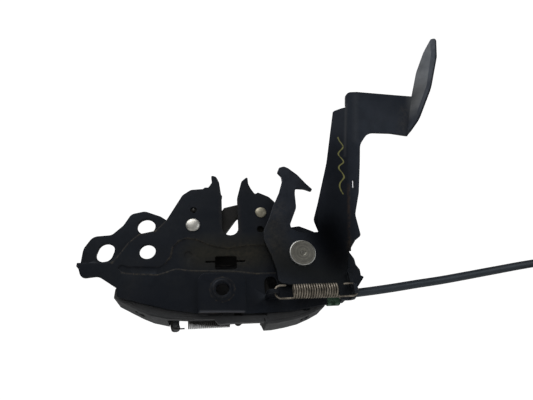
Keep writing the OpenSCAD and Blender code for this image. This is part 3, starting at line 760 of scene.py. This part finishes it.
class Graph:
    """Short hand for the nodes of one tree."""

    def __init__(self, tree: bpy.types.NodeTree) -> None:
        """Takes the tree that the nodes go into."""
        self.tree = tree

    def node(self, kind: str, **settings: object) -> bpy.types.Node:
        """Adds a node and sets its properties.

        Args:
            kind: Type of the node.
            **settings: Its properties.

        Returns:
            The node.
        """
        made = self.tree.nodes.new(kind)
        for name, value in settings.items():
            setattr(made, name, value)
        return made

    def link(self, a: Socket, b: Socket) -> None:
        """Joins an output to an input."""
        self.tree.links.new(a, b)

    def feed(self, socket: Socket, value: object) -> None:
        """Sets an input to a value, or joins it to an output.

        Args:
            socket: The input.
            value: A plain value, or another node's output.
        """
        if isinstance(value, Socket):
            self.link(value, socket)
        else:
            socket.default_value = value

    def math(self, operation: str, a: object, b: object = 0.0, clamp: bool = False) -> Socket:
        """Adds one step of arithmetic.

        Args:
            operation: Its name.
            a: First value or output.
            b: Second value or output.
            clamp: Whether the result stays between 0 and 1.

        Returns:
            The result.
        """
        made = self.node("ShaderNodeMath", operation=operation, use_clamp=clamp)
        self.feed(made.inputs[0], a)
        self.feed(made.inputs[1], b)
        return made.outputs[0]

    def vector(self, operation: str, a: object, b: object = (0, 0, 0), out: str = "Vector") -> Socket:
        """Adds one step of vector arithmetic.

        Args:
            operation: Its name.
            a: First vector or output.
            b: Second vector or output.
            out: Which result is wanted, Vector or Value.

        Returns:
            The result.
        """
        made = self.node("ShaderNodeVectorMath", operation=operation)
        self.feed(made.inputs[0], a)
        self.feed(made.inputs[1], b)
        return made.outputs[out]

    def ramp(
        self, value: object, low: float, high: float, to_low: object = 0.0, to_high: float = 1.0
    ) -> Socket:
        """Adds a smooth step.

        Args:
            value: What is stepped.
            low: Where the step starts.
            high: Where it ends.
            to_low: Result up to its start.
            to_high: Result from its end on.

        Returns:
            The result.
        """
        made = self.node("ShaderNodeMapRange", interpolation_type="SMOOTHSTEP")
        names = ("Value", "From Min", "From Max", "To Min", "To Max")
        for name, given in zip(names, (value, low, high, to_low, to_high)):
            self.feed(made.inputs[name], given)
        return made.outputs["Result"]

    def noise(self, where: object, scale: float, detail: float = 4.0, rough: float = 0.55) -> Socket:
        """Adds soft noise.

        Args:
            where: Points of the object.
            scale: How many waves there are in a metre, about.
            detail: How many finer layers it has.
            rough: How strong these are.

        Returns:
            The noise, from 0 to 1.
        """
        made = self.node("ShaderNodeTexNoise")
        self.feed(made.inputs["Vector"], where)
        made.inputs["Scale"].default_value = scale
        made.inputs["Detail"].default_value = detail
        made.inputs["Roughness"].default_value = rough
        return made.outputs["Fac"]

    def blend(self, share: object, a: object, b: object) -> Socket:
        """Adds a mix of two colours.

        Args:
            share: Share of the second colour.
            a: First colour.
            b: Second colour.

        Returns:
            The mixed colour.
        """
        made = self.node("ShaderNodeMix", data_type="RGBA")
        self.feed(made.inputs["Factor"], share)
        self.feed(made.inputs["A"], a)
        self.feed(made.inputs["B"], b)
        return made.outputs["Result"]


def rgb(r: float, g: float, b: float) -> tuple[float, float, float, float]:
    """A linear colour with full cover."""
    return (r, g, b, 1.0)


def new_group(
    name: str, takes: dict[str, str], gives: dict[str, str]
) -> tuple[bpy.types.NodeTree, Graph, dict[str, Socket], bpy.types.Node]:
    """An empty shader group with its sockets.

    Args:
        name: Name of the group.
        takes: Input names and their socket types.
        gives: Output names and their socket types.

    Returns:
        The tree, its graph, its inputs by name, and its output node.
    """
    tree = bpy.data.node_groups.new(name, "ShaderNodeTree")
    for label, kind in takes.items():
        tree.interface.new_socket(label, in_out="INPUT", socket_type=f"NodeSocket{kind}")
    for label, kind in gives.items():
        tree.interface.new_socket(label, in_out="OUTPUT", socket_type=f"NodeSocket{kind}")
    graph = Graph(tree)
    inputs = {s.name: s for s in graph.node("NodeGroupInput").outputs}
    return tree, graph, inputs, graph.node("NodeGroupOutput")


@dataclass
class Effects:
    """Shader groups that the finishes share."""

    wear: bpy.types.NodeTree = field(init=False)
    dust: bpy.types.NodeTree = field(init=False)
    grain: bpy.types.NodeTree = field(init=False)
    near_line: bpy.types.NodeTree = field(init=False)

    def __post_init__(self) -> None:
        """Makes the groups."""
        self.wear = self._wear()
        self.dust = self._dust()
        self.grain = self._grain()
        self.near_line = self._near_line()

    def _wear(self) -> bpy.types.NodeTree:
        """Mask of worn edges: the edge attribute, broken up by noise.

        Returns:
            The group.
        """
        takes = {"Place": "Vector", "Amount": "Float"}
        tree, g, given, out = new_group("edge_wear", takes, {"Mask": "Float"})
        edge = g.node("ShaderNodeAttribute", attribute_name="edge").outputs["Fac"]
        patchy = g.ramp(g.noise(given["Place"], 220, 5, 0.65), 0.36, 0.66)
        mask = g.math("MULTIPLY", g.math("MULTIPLY", edge, patchy), given["Amount"], True)
        g.link(mask, out.inputs["Mask"])
        return tree

    def _dust(self) -> bpy.types.NodeTree:
        """Mask of dust: soft patches, thicker on faces that look up.

        Returns:
            The group.
        """
        takes = {"Place": "Vector", "Amount": "Float"}
        tree, g, given, out = new_group("dust", takes, {"Mask": "Float"})
        normal = g.node("ShaderNodeTexCoord").outputs["Normal"]
        up = g.node("ShaderNodeSeparateXYZ")
        g.link(normal, up.inputs[0])
        facing = g.ramp(up.outputs["Z"], -0.4, 0.9, 0.45, 1.0)
        patches = g.ramp(g.noise(given["Place"], 38, 6, 0.62), 0.42, 0.72)
        fine = g.ramp(g.noise(given["Place"], 620, 3, 0.6), 0.3, 0.75, 0.55, 1.0)
        mask = g.math("MULTIPLY", g.math("MULTIPLY", patches, fine), facing)
        g.link(g.math("MULTIPLY", mask, given["Amount"], True), out.inputs["Mask"])
        return tree

    def _grain(self) -> bpy.types.NodeTree:
        """Surface normal with a fine grain, from noise as the height of a bump.

        Returns:
            The group.
        """
        takes = {"Place": "Vector", "Scale": "Float", "Depth": "Float"}
        tree, g, given, out = new_group("grain", takes, {"Normal": "Vector"})
        noise = g.node("ShaderNodeTexNoise")
        g.link(given["Place"], noise.inputs["Vector"])
        g.link(given["Scale"], noise.inputs["Scale"])
        noise.inputs["Detail"].default_value = 3
        bump = g.node("ShaderNodeBump")
        g.link(given["Depth"], bump.inputs["Strength"])
        bump.inputs["Distance"].default_value = 0.0004
        g.link(noise.outputs["Fac"], bump.inputs["Height"])
        g.link(bump.outputs["Normal"], out.inputs["Normal"])
        return tree

    def _near_line(self) -> bpy.types.NodeTree:
        """Mask that is 1 on the line from A to B and fades to 0 at Width from it, in metres.

        Returns:
            The group.
        """
        takes = {"Place": "Vector", "A": "Vector", "B": "Vector", "Width": "Float"}
        tree, g, given, out = new_group("near_line", takes, {"Mask": "Float"})
        run = g.vector("SUBTRACT", given["B"], given["A"])
        rel = g.vector("SUBTRACT", given["Place"], given["A"])
        along = g.vector("DOT_PRODUCT", rel, run, "Value")
        share = g.math("DIVIDE", along, g.vector("DOT_PRODUCT", run, run, "Value"), True)
        foot = g.node("ShaderNodeVectorMath", operation="SCALE")
        g.link(run, foot.inputs[0])
        g.link(share, foot.inputs["Scale"])
        away = g.vector("DISTANCE", rel, foot.outputs["Vector"], "Value")
        near = g.math("SUBTRACT", 1.0, g.math("DIVIDE", away, given["Width"]), True)
        g.link(near, out.inputs["Mask"])
        return tree

    def use(self, graph: Graph, tree: bpy.types.NodeTree, **values: object) -> bpy.types.Node:
        """Adds a group to a material's graph.

        Args:
            graph: The material's graph.
            tree: The group.
            **values: Its inputs, as values or sockets.

        Returns:
            The group's node.
        """
        made = graph.node("ShaderNodeGroup", node_tree=tree)
        for name, value in values.items():
            graph.feed(made.inputs[name], value)
        return made


# Finishes


RUST = (0.078, 0.044, 0.021)
EARTH = (0.075, 0.060, 0.040)
# Painted highlight: light grey along the lever's rounded folds
PAINTED_FOLD_HIGHLIGHT = (0.055, 0.055, 0.056)
# Painted highlight: light grey for the bright lower edge of the base plate's pad
PAINTED_EDGE_HIGHLIGHT = (0.085, 0.085, 0.094)
# Painted shade: near black, for the shade on the lever's arm and in its corner beside the pivot rivet
PAINTED_SHADE = (0.0008, 0.0008, 0.0010)
GRIME = (0.0075, 0.0070, 0.0048)
CLAY = (0.020, 0.0185, 0.0125)

# Dull share of a mark that is even and keeps its gloss, as the painted highlights are
EVEN = 0.01


@dataclass(frozen=True)
class LineMark:
    """A mark along a line of the object, in millimetres, fading out at its width. Most are real stains; some
    are painted shade and some painted highlights.

    It is broken up by noise. Where dull is above zero it is even instead, and that share of the surface
    turns to metal of the mark's colour, which takes the gloss away where the colour is dark.
    """

    a: Point
    b: Point
    width: float
    strength: float
    colour: Colour = RUST
    dull: float = 0.0


def trail(
    points: tuple[Spot, ...], y: float, width: float, strength: float, colour: Colour
) -> tuple[LineMark, ...]:
    """Stains one after the other along a line of x, z points at depth y."""
    places = [(x, y, z) for x, z in points]
    return tuple(LineMark(a, b, width, strength, colour) for a, b in zip(places, places[1:]))


def ring(
    middle: Spot, radius: float, y: float, width: float, strength: float, colour: Colour
) -> tuple[LineMark, ...]:
    """Stains round a circle of twelve corners.

    Args:
        middle: The circle's middle, x and z.
        radius: Its radius.
        y: Its depth.
        width: Their width.
        strength: Their strength.
        colour: Their colour.

    Returns:
        Those marks.
    """
    turn = np.linspace(0, 2 * np.pi, 13)
    points = tuple((middle[0] + radius * math.cos(t), middle[1] + radius * math.sin(t)) for t in turn)
    return trail(points, y, width, strength, colour)


@dataclass(frozen=True)
class Finish:
    """Base colour in two tones with dust, worn edges, stains, and painted shade and painted highlights along
    lines, on one Principled shader.
    """

    name: str
    dark: Colour
    light: Colour
    rough: Span
    metal: float = 0.0
    specular: float = 0.5
    tone_scale: float = 55.0
    grain_scale: float = 1800.0
    grain_depth: float = 0.12
    dust: float = 0.0
    dust_colour: Colour = (0.075, 0.066, 0.052)
    dust_rough: float = 0.3
    wear: float = 0.0
    wear_colour: Colour = (0.12, 0.112, 0.098)
    glint: Colour = (1.0, 1.0, 1.0)
    line_marks: tuple[LineMark, ...] = ()

    def build(self, effects: Effects) -> bpy.types.Material:
        """Makes the material.

        Args:
            effects: The shared shader groups.

        Returns:
            The material.
        """
        made = bpy.data.materials.new(self.name)
        made.use_nodes = True
        g = Graph(made.node_tree)
        shader = made.node_tree.nodes["Principled BSDF"]
        place = g.node("ShaderNodeTexCoord").outputs["Object"]
        tone = g.ramp(g.noise(place, self.tone_scale, 6, 0.6), 0.3, 0.7)
        colour = g.blend(tone, rgb(*self.dark), rgb(*self.light))
        rough = g.ramp(g.noise(place, self.tone_scale * 2.3, 5, 0.6), 0.3, 0.7, *self.rough)
        metal: object = self.metal
        # Marks along lines: real stains, and painted shade and painted highlights as well; a dull mark also
        # turns that share to dark metal, which takes the gloss away
        for line_mark in self.line_marks:
            line = {"A": mm(*line_mark.a), "B": mm(*line_mark.b), "Width": line_mark.width * MM}
            near = effects.use(g, effects.near_line, Place=place, **line).outputs["Mask"]
            if line_mark.dull:
                broken = 1.0
                metal = g.ramp(near, 0.0, 0.9, metal, line_mark.dull)
            else:
                broken = g.ramp(g.noise(place, 420, 6, 0.7), 0.35, 0.65)
            mask = g.math("MULTIPLY", g.math("MULTIPLY", near, broken), line_mark.strength, True)
            colour = g.blend(mask, colour, rgb(*line_mark.colour))
        if self.dust:
            mask = effects.use(g, effects.dust, Place=place, Amount=self.dust).outputs["Mask"]
            colour = g.blend(mask, colour, rgb(*self.dust_colour))
            rough = g.math("ADD", rough, g.math("MULTIPLY", mask, self.dust_rough), True)
        if self.wear:
            mask = effects.use(g, effects.wear, Place=place, Amount=self.wear).outputs["Mask"]
            colour = g.blend(mask, colour, rgb(*self.wear_colour))
        colour = self.mark(g, effects, place, colour)
        g.link(colour, shader.inputs["Base Color"])
        g.link(rough, shader.inputs["Roughness"])
        g.feed(shader.inputs["Metallic"], metal)
        shader.inputs["Specular IOR Level"].default_value = self.specular
        shader.inputs["Specular Tint"].default_value = rgb(*self.glint)
        grain = effects.use(g, effects.grain, Place=place, Scale=self.grain_scale, Depth=self.grain_depth)
        g.link(grain.outputs["Normal"], shader.inputs["Normal"])
        return made

    def mark(self, g: Graph, effects: Effects, place: Socket, colour: Socket) -> Socket:
        """Colour with what is drawn on the surface: nothing, on a plain finish."""
        return colour


@dataclass(frozen=True)
class TurnedFinish(Finish):
    """Metal with turning marks: uneven rings round an axis along Y, and a bright rim at its radius.

    The axis, the rim and its soft edge are in millimetres.
    """

    axis: Spot = (0.0, 0.0)
    rim: float = 9.0
    rim_edge: Span = (0.7, 0.2)
    groove: Colour = (0.09, 0.087, 0.08)
    groove_scale: float = 1.1
    groove_share: float = 0.65
    bright: Colour = (0.60, 0.59, 0.56)

    def mark(self, g: Graph, effects: Effects, place: Socket, colour: Socket) -> Socket:
        """Draws the rings, from noise of the distance to the axis alone, and the rim.

        Args:
            g: The material's graph.
            effects: The shared shader groups.
            place: Points of the object.
            colour: The colour so far.

        Returns:
            The colour with both.
        """
        x, z = self.axis
        flat = g.vector("MULTIPLY", g.vector("SUBTRACT", place, mm(x, 0, z)), (1, 0, 1))
        away = g.math("DIVIDE", g.vector("LENGTH", flat, out="Value"), MM)
        rings = g.node("ShaderNodeTexNoise", noise_dimensions="1D")
        g.link(away, rings.inputs["W"])
        rings.inputs["Scale"].default_value = self.groove_scale
        rings.inputs["Detail"].default_value = 3
        worn = g.ramp(rings.outputs["Fac"], 0.45, 0.62, 0.0, self.groove_share)
        colour = g.blend(worn, colour, rgb(*self.groove))
        edge = g.ramp(away, *(self.rim - d for d in self.rim_edge))
        return g.blend(edge, colour, rgb(*self.bright))


@dataclass(frozen=True)
class ArmPanel:
    """The lever's first arm panel: a frame of its fold with the second panel, from the lever's folds.

    Lengths are in millimetres and angles in degrees.
    """

    hinge: Point = (119.4, -8.2, 10.2)
    lean: float = -30.9
    fold: float = 35.0
    foot: Spot = (8.0, -24.0)
    panel_lean: float = 38.5

    def turn(self) -> Matrix:
        """Turn from the lever's flat sheet into the folded panel."""
        lean = Matrix.Rotation(math.radians(self.lean), 3, "Y")
        return lean @ Matrix.Rotation(math.radians(-self.fold), 3, "Z")

    def place(self, u: float, v: float) -> Vector:
        """Point of the panel's front.

        Args:
            u: Millimetres up along the panel's fold.
            v: Millimetres to the left of it.

        Returns:
            The point in millimetres.
        """
        a = math.radians(self.panel_lean)
        x = self.foot[0] + u * math.sin(a) - v * math.cos(a)
        z = self.foot[1] + u * math.cos(a) + v * math.sin(a)
        return Vector(self.hinge) + self.turn() @ Vector((x, 0, z))


@dataclass(frozen=True)
class LeverFinish(Finish):
    """Black coat with a faded paint-pen wave on the arm, and a painted reflection in grey on the paddle's
    face.

    The wave runs along the arm's fold: a sine of uneven pitch about a line that drifts. The painted
    reflection comes in over the given spans of x and z on faces that look the given way, and is weak in a
    band along the given edge. Lengths are in millimetres.
    """

    panel: ArmPanel = ArmPanel()
    wave: Span = (40.0, 84.0)
    pitch: float = 0.5
    uneven: float = 7.0
    swing: float = 1.8
    drift: float = 3.0
    beside: float = 2.4
    stroke: Span = (0.75, 0.3)
    pen: Colour = (0.22, 0.21, 0.07)
    # Grey of the painted reflection on the paddle's face, and where it comes in
    reflection_grey: Colour = (0.105, 0.104, 0.102)
    reflection_face: Point = (-0.74, -0.67, -0.06)
    reflection_x: Span = (188.0, 194.0)
    reflection_z: Span = (80.0, 94.0)
    reflection_edge: tuple[Point, ...] = (
        (214.6, -78.8, 138), (213.2, -76.4, 127), (206.7, -67.1, 102), (199.2, -57.4, 85),
    )
    reflection_band: float = 5.6

    def mark(self, g: Graph, effects: Effects, place: Socket, colour: Socket) -> Socket:
        """Draws the wave beside the fold, and the paddle's face painted grey as a reflection, with its
        darker edge band.

        Args:
            g: The material's graph.
            effects: The shared shader groups.
            place: Points of the object.
            colour: The colour so far.

        Returns:
            The colour with both.
        """
        normal = g.node("ShaderNodeTexCoord").outputs["Normal"]
        colour = g.blend(self._pen_wave(g, place, normal), colour, rgb(*self.pen))
        # Painted reflection: the paddle's face that looks left and to the front is painted light grey
        return g.blend(self._reflection_mask(g, effects, place, normal), colour, rgb(*self.reflection_grey))

    def _pen_wave(self, g: Graph, place: Socket, normal: Socket) -> Socket:
        """Mask of the wave.

        Args:
            g: The material's graph.
            place: Points of the object.
            normal: The way its surface looks.

        Returns:
            The mask.
        """
        start = self.panel.place(0, 0)
        along = (self.panel.place(1, 0) - start).normalized()
        across = (self.panel.place(0, 1) - start).normalized()
        rel = g.vector("SUBTRACT", place, start * MM)
        u = g.math("DIVIDE", g.vector("DOT_PRODUCT", rel, along, "Value"), MM)
        v = g.math("DIVIDE", g.vector("DOT_PRODUCT", rel, across, "Value"), MM)
        uneven = g.math("MULTIPLY", g.noise(place, 45, 1), self.uneven)
        angle = g.math("ADD", g.math("MULTIPLY", u, self.pitch), uneven)
        swing = g.math("MULTIPLY", g.math("SINE", angle), self.swing)
        drift = g.math("MULTIPLY", g.noise(place, 30, 1), self.drift)
        middle = g.math("ADD", g.math("ADD", swing, drift), self.beside)
        stroke = g.ramp(g.math("ABSOLUTE", g.math("SUBTRACT", v, middle)), *self.stroke)
        first, last = self.wave
        inside = g.math("MULTIPLY", g.ramp(u, first, first + 1), g.ramp(u, last, last - 1))
        front = g.ramp(g.vector("DOT_PRODUCT", normal, along.cross(across), "Value"), 0.8, 0.95)
        faded = g.ramp(g.noise(place, 500, 4, 0.7), 0.3, 0.6, 0.35, 1.0)
        return g.math("MULTIPLY", g.math("MULTIPLY", stroke, inside), g.math("MULTIPLY", front, faded))

    def _reflection_mask(self, g: Graph, effects: Effects, place: Socket, normal: Socket) -> Socket:
        """Mask of the painted reflection on the paddle's face, weak in a band along its edge.

        Args:
            g: The material's graph.
            effects: The shared shader groups.
            place: Points of the object.
            normal: The way its surface looks.

        Returns:
            The mask.
        """
        xyz = g.node("ShaderNodeSeparateXYZ")
        g.link(place, xyz.inputs[0])
        face = Vector(self.reflection_face).normalized()
        facing = g.ramp(g.vector("DOT_PRODUCT", normal, face, "Value"), 0.70, 0.92)
        right = g.ramp(xyz.outputs["X"], *mm(*self.reflection_x))
        high = g.math("MULTIPLY", right, g.ramp(xyz.outputs["Z"], *mm(*self.reflection_z)))
        patchy = g.ramp(g.noise(place, 90, 6, 0.65), 0.3, 0.7, 0.6, 1.0)
        share = g.math("MULTIPLY", g.math("MULTIPLY", facing, high), patchy)
        for a, b in zip(self.reflection_edge, self.reflection_edge[1:]):
            line = {"A": mm(*a), "B": mm(*b), "Width": self.reflection_band * MM}
            near = effects.use(g, effects.near_line, Place=place, **line)
            share = g.math("MULTIPLY", share, g.ramp(near.outputs["Mask"], 0.0, 0.10, 1.0, 0.15))
        return share


LEDGE = (
    (-14.9, -14.6), (-7.6, -15.7), (7.7, -16.6), (13.5, -14.9), (19.4, -12.9), (27.7, -14.3), (43.6, -15),
    (60.6, -15.8), (73, -17.7), (86, -17.6),
)
RIDGE = ((-22, -7.5), (-13.5, 6.5), (-7, 13), (4, 15.5), (11.5, 24.5))
RAISED = (
    (12.4, -8.9), (15.6, -4), (16.6, 3), (20.4, 7.4), (25.6, 9.4), (32, 8.4), (40.5, 4.4), (54.8, 1.1),
    (68.6, 3.4), (80, 3.2),
)
PAD = (49.8, -29.2)
COAT = Finish(
    "black_coat", (0.0030, 0.0035, 0.0054), (0.0060, 0.0063, 0.0080), (0.42, 0.62),
    specular=0.14, glint=(0.72, 0.84, 1.0),
    dust=0.30, dust_colour=(0.030, 0.028, 0.023), wear=0.25, wear_colour=(0.055, 0.052, 0.047),
    line_marks=(
        *trail(LEDGE, -2.4, 1.0, 0.75, EARTH),
        *trail(RAISED, -2.4, 1.0, 0.6, EARTH),
        *trail(RIDGE, -2.4, 1.3, 0.8, EARTH),
        LineMark((36, -2.4, -2), (72, -2.4, -3), 17.0, 0.8, CLAY, 0.45),
        *trail(((34, -2), (62, -3), (76, -2)), -2.4, 16.0, 0.12, EARTH),
        *trail(((50.5, 14), (50.5, 40)), -1.3, 3.0, 0.30, EARTH),
        *trail(((62.1, 14), (62.1, 40)), -1.3, 3.0, 0.30, EARTH),
        *ring(PAD, 5.6, -7.0, 0.8, 0.5, EARTH),
        *ring(PAD, 8.0, -6.2, 1.0, 0.6, EARTH),
        # Painted highlight: a light line along the pad's lower edge
        LineMark((36, -6.2, -43.2), (63, -6.2, -44.4), 1.4, 0.8, PAINTED_EDGE_HIGHLIGHT, EVEN),
        *trail(((36, -44), (62, -45)), -3, 2.0, 0.3, RUST),
    ),
)
ARM = ArmPanel()
LEVER_COAT = LeverFinish(
    "lever_coat", (0.0058, 0.0066, 0.0098), (0.0098, 0.0105, 0.0142), (0.40, 0.58),
    specular=0.3, glint=(0.70, 0.82, 1.0),
    dust=0.2, dust_colour=(0.028, 0.026, 0.022), wear=0.35, wear_colour=(0.05, 0.048, 0.045),
    line_marks=(
        LineMark(tuple(ARM.place(2, -0.4)), tuple(ARM.place(47, -1.4)), 1.8, 0.7, RUST),
        LineMark(tuple(ARM.place(-4, -1)), tuple(ARM.place(6, -1)), 5.0, 0.5, EARTH),
        LineMark((86, -8.2, 14), (88, -8.2, -6), 14.0, 0.7, GRIME, 0.25),
        LineMark((92, -8.2, -12), (126, -8.2, -24), 22.0, 1.0, GRIME, 0.5),
        LineMark((90, -8.2, 30), (86, -8.2, 0), 14.0, 0.20, EARTH),
        # Painted highlights: a thin light line along the arm's first fold, and a soft wider one along the
        # tongue's bend
        LineMark((142.0, -51.6, 94), (138.9, -37, 57.5), 1.5, 0.55, PAINTED_FOLD_HIGHLIGHT, EVEN),
        LineMark((149.7, -54.2, 100.3), (147.5, -41.9, 68.3), 3.4, 0.25, PAINTED_FOLD_HIGHLIGHT, EVEN),
        LineMark((188, -50, 92), (185, -44, 76), 6.0, 0.25, EARTH),
        # Painted shade: a soft dark patch on the arm's first panel, and a deep one in the corner right of
        # the pivot rivet, where shade falls
        LineMark(tuple(ARM.place(70, 8)), tuple(ARM.place(20, 8)), 20.0, 0.4, PAINTED_SHADE, 0.4),
        LineMark((124, -11, 8), (130, -8.2, -9), 36.0, 0.6, PAINTED_SHADE, 0.5),
        LineMark((124, -11, 8), (130, -8.2, -9), 20.0, 0.9, PAINTED_SHADE, 0.9),
    ),
)
COVER = Finish(
    "cover_plastic", (0.0265, 0.0267, 0.0285), (0.0375, 0.0378, 0.0395), (0.48, 0.66),
    specular=0.3, dust=0.25, wear=0.3, wear_colour=(0.06, 0.058, 0.055),
)
CATCH = Finish(
    "catch_steel", (0.005, 0.0048, 0.0043), (0.010, 0.0092, 0.008), (0.5, 0.7),
    specular=0.15, dust=0.2, wear=0.45,
)
ZINC = Finish(
    "dull_zinc", (0.40, 0.385, 0.35), (0.64, 0.615, 0.56), (0.34, 0.52), 0.9,
    tone_scale=160, grain_depth=0.25, dust=0.4, dust_colour=(0.16, 0.15, 0.13),
)
AGED_ZINC = Finish(
    "aged_zinc", (0.21, 0.192, 0.145), (0.34, 0.31, 0.235), (0.38, 0.55), 0.9,
    tone_scale=160, grain_depth=0.3, dust=0.5, dust_colour=(0.11, 0.10, 0.08),
)
LEVER_RIVET = TurnedFinish(
    "turned_zinc", (0.138, 0.131, 0.110), (0.210, 0.199, 0.167), (0.36, 0.5), 0.9,
    tone_scale=160, grain_depth=0.2, dust=0.3, dust_colour=(0.12, 0.11, 0.095), axis=(105.6, -5.9), rim=9.3,
)
WIRE = Finish(
    "spring_wire", (0.10, 0.085, 0.067), (0.30, 0.26, 0.21), (0.32, 0.48), 0.8, tone_scale=240, dust=0.4
)
# A darker copy of the spring wire for the pawl and claw springs: partly oil on the wire, partly painted
# shade
OILY_SHADED_WIRE = Finish(
    "oily_shaded_wire", (0.018, 0.0165, 0.015), (0.055, 0.050, 0.044), (0.4, 0.55), 0.5, tone_scale=240, dust=0.3
)
GREEN = Finish(
    "green_plastic", (0.030, 0.068, 0.040), (0.045, 0.092, 0.057), (0.4, 0.55),
    specular=0.3, dust=0.25, wear=0.2,
)
SHEATH = Finish(
    "sheath", (0.015, 0.019, 0.024), (0.023, 0.027, 0.033), (0.34, 0.46),
    specular=0.3, grain_depth=0.05, dust=0.2, glint=(0.82, 0.92, 1.0),
)
FINISHES = (COAT, LEVER_COAT, COVER, CATCH, ZINC, AGED_ZINC, LEVER_RIVET, WIRE, OILY_SHADED_WIRE, GREEN, SHEATH)


# Pieces and what they are dressed in


SKINS = (
    (Skin("base_plate", Body.BASE, Slot.PLATE), COAT),
    (Skin("safety_lever", Body.LEVER, Slot.PLATE), LEVER_COAT),
    (Skin("rear_cover", Body.BASE, Slot.PLASTIC, 0.3), COVER),
    (Skin("claw", Body.CLAW, Slot.DARK_STEEL, 0.25), CATCH),
    (Skin("pawl", Body.PAWL, Slot.DARK_STEEL, 0.25), CATCH),
    (Skin("backing_plate", Body.BASE, Slot.DARK_STEEL, 0.25), CATCH),
    (Skin("cable_clip", Body.BASE, Slot.GREEN, 0.25), GREEN),
)
LIP_LEFT = CoverLip(
    "cover_lip_left",
    (
        (-18, -29.6), (-17.6, -30.4), (-9, -35.1), (-5.4, -37), (-2, -38.8), (4.6, -41.7), (14.7, -44.2),
        (28, -45.3), (40, -45.6),
    ),
    (
        (-15.5, -27.5), (-14, -28.8), (-7.6, -32), (-5.4, -34.05), (-1.4, -34.05), (3.4, -35.2),
        (14.5, -37.8), (28, -40.4), (40, -42),
    ),
)
LIP_RIGHT = CoverLip(
    "cover_lip_right",
    (
        (78.9, -50.1), (84, -50), (93.5, -48.7), (102.6, -46.8), (103.2, -46.6), (107.4, -45.1),
        (108.6, -44.7), (110.6, -43.9), (117.2, -40.9),
    ),
    (
        (78.9, -43.2), (84, -43), (93, -42.3), (103.3, -42.2), (103.9, -43.35), (107.7, -43.35),
        (108.3, -40.4), (109.5, -40.2), (115.2, -38.6),
    ),
)
LEVER_SPRING = CoilSpring(
    "lever_spring_wire", "lever_spring",
    axis=(-13.7, -34.5), mean=4.2, wire=1.2, coils=(94.6, 124.4), turns=18, start=180.0,
    head=(
        (90.4, -13.7, -30.3), (88.7, -13.7, -30.3), *arc(87.0, -13.7, -34.5, 4.2, 90, 270),
        (89.8, -13.7, -38.7), (93.0, -13.8, -38.7),
    ),
    foot=(
        (126.0, -13.6, -38.7), (130.6, -13.7, -38.7), *arc(134.0, -13.7, -34.5, 4.2, -90, 90),
        (131.6, -13.7, -30.3), (129.2, -13.7, -30.5),
    ),
    moving=Body.LEVER,
)
PAWL_SPRING = CoilSpring(
    "pawl_spring_wire", "pawl_spring",
    axis=(9.9, -46.4), mean=3.1, wire=0.9, coils=(27.6, 54.95), turns=21, start=0.0,
    head=(
        (25.55, 9.9, -49.3), (22.75, 9.9, -49.3), *arc(19.95, 9.9, -46.4, 2.9, -90, -270),
        (23.15, 9.9, -43.5),
    ),
    foot=((56.55, 9.9, -43.77), *arc(60.5, 9.9, -46.4, 2.35, 110, -140)),
    moving=Body.PAWL,
)
TRIM = (
    (LIP_LEFT, COVER),
    (LIP_RIGHT, COVER),
    (LEVER_SPRING, WIRE),
    (PAWL_SPRING, OILY_SHADED_WIRE),
    (TorsionSpring(), OILY_SHADED_WIRE),
)
PLATED_NODES = (
    "claw_pivot_rivet", "lever_spacer", "core_wire", "core_nipple",
    "sheath_ferrule", "cabin_ferrule", "cabin_wire", "cabin_nipple",
)
NODES = (
    ("lever_pivot_rivet", LEVER_RIVET),
    ("pawl_pivot_rivet", AGED_ZINC),
    *((node, ZINC) for node in PLATED_NODES),
    ("cable_tie", COVER),
)


def dress(piece: bpy.types.Object, material: bpy.types.Material) -> None:
    """Gives a piece or CAD node that one material, and reports it.

    Args:
        piece: The piece or node.
        material: The material.
    """
    piece.data.materials.clear()
    piece.data.materials.append(material)
    log.info("%s in %s", piece.name, material.name)


def main() -> None:
    """Builds the scene in order and reports on it."""
    logging.basicConfig(level=logging.INFO, format="%(name)s: %(message)s")
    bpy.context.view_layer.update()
    Shot().build()
    Studio().build()
    effects = Effects()
    made = {finish: finish.build(effects) for finish in FINISHES}
    dress(ReleaseCable().build(), made[SHEATH])
    for piece, finish in (*SKINS, *TRIM):
        dress(piece.build(), made[finish])
    for node, finish in NODES:
        dress(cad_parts[node], made[finish])


if __name__ == "__main__":
    main()
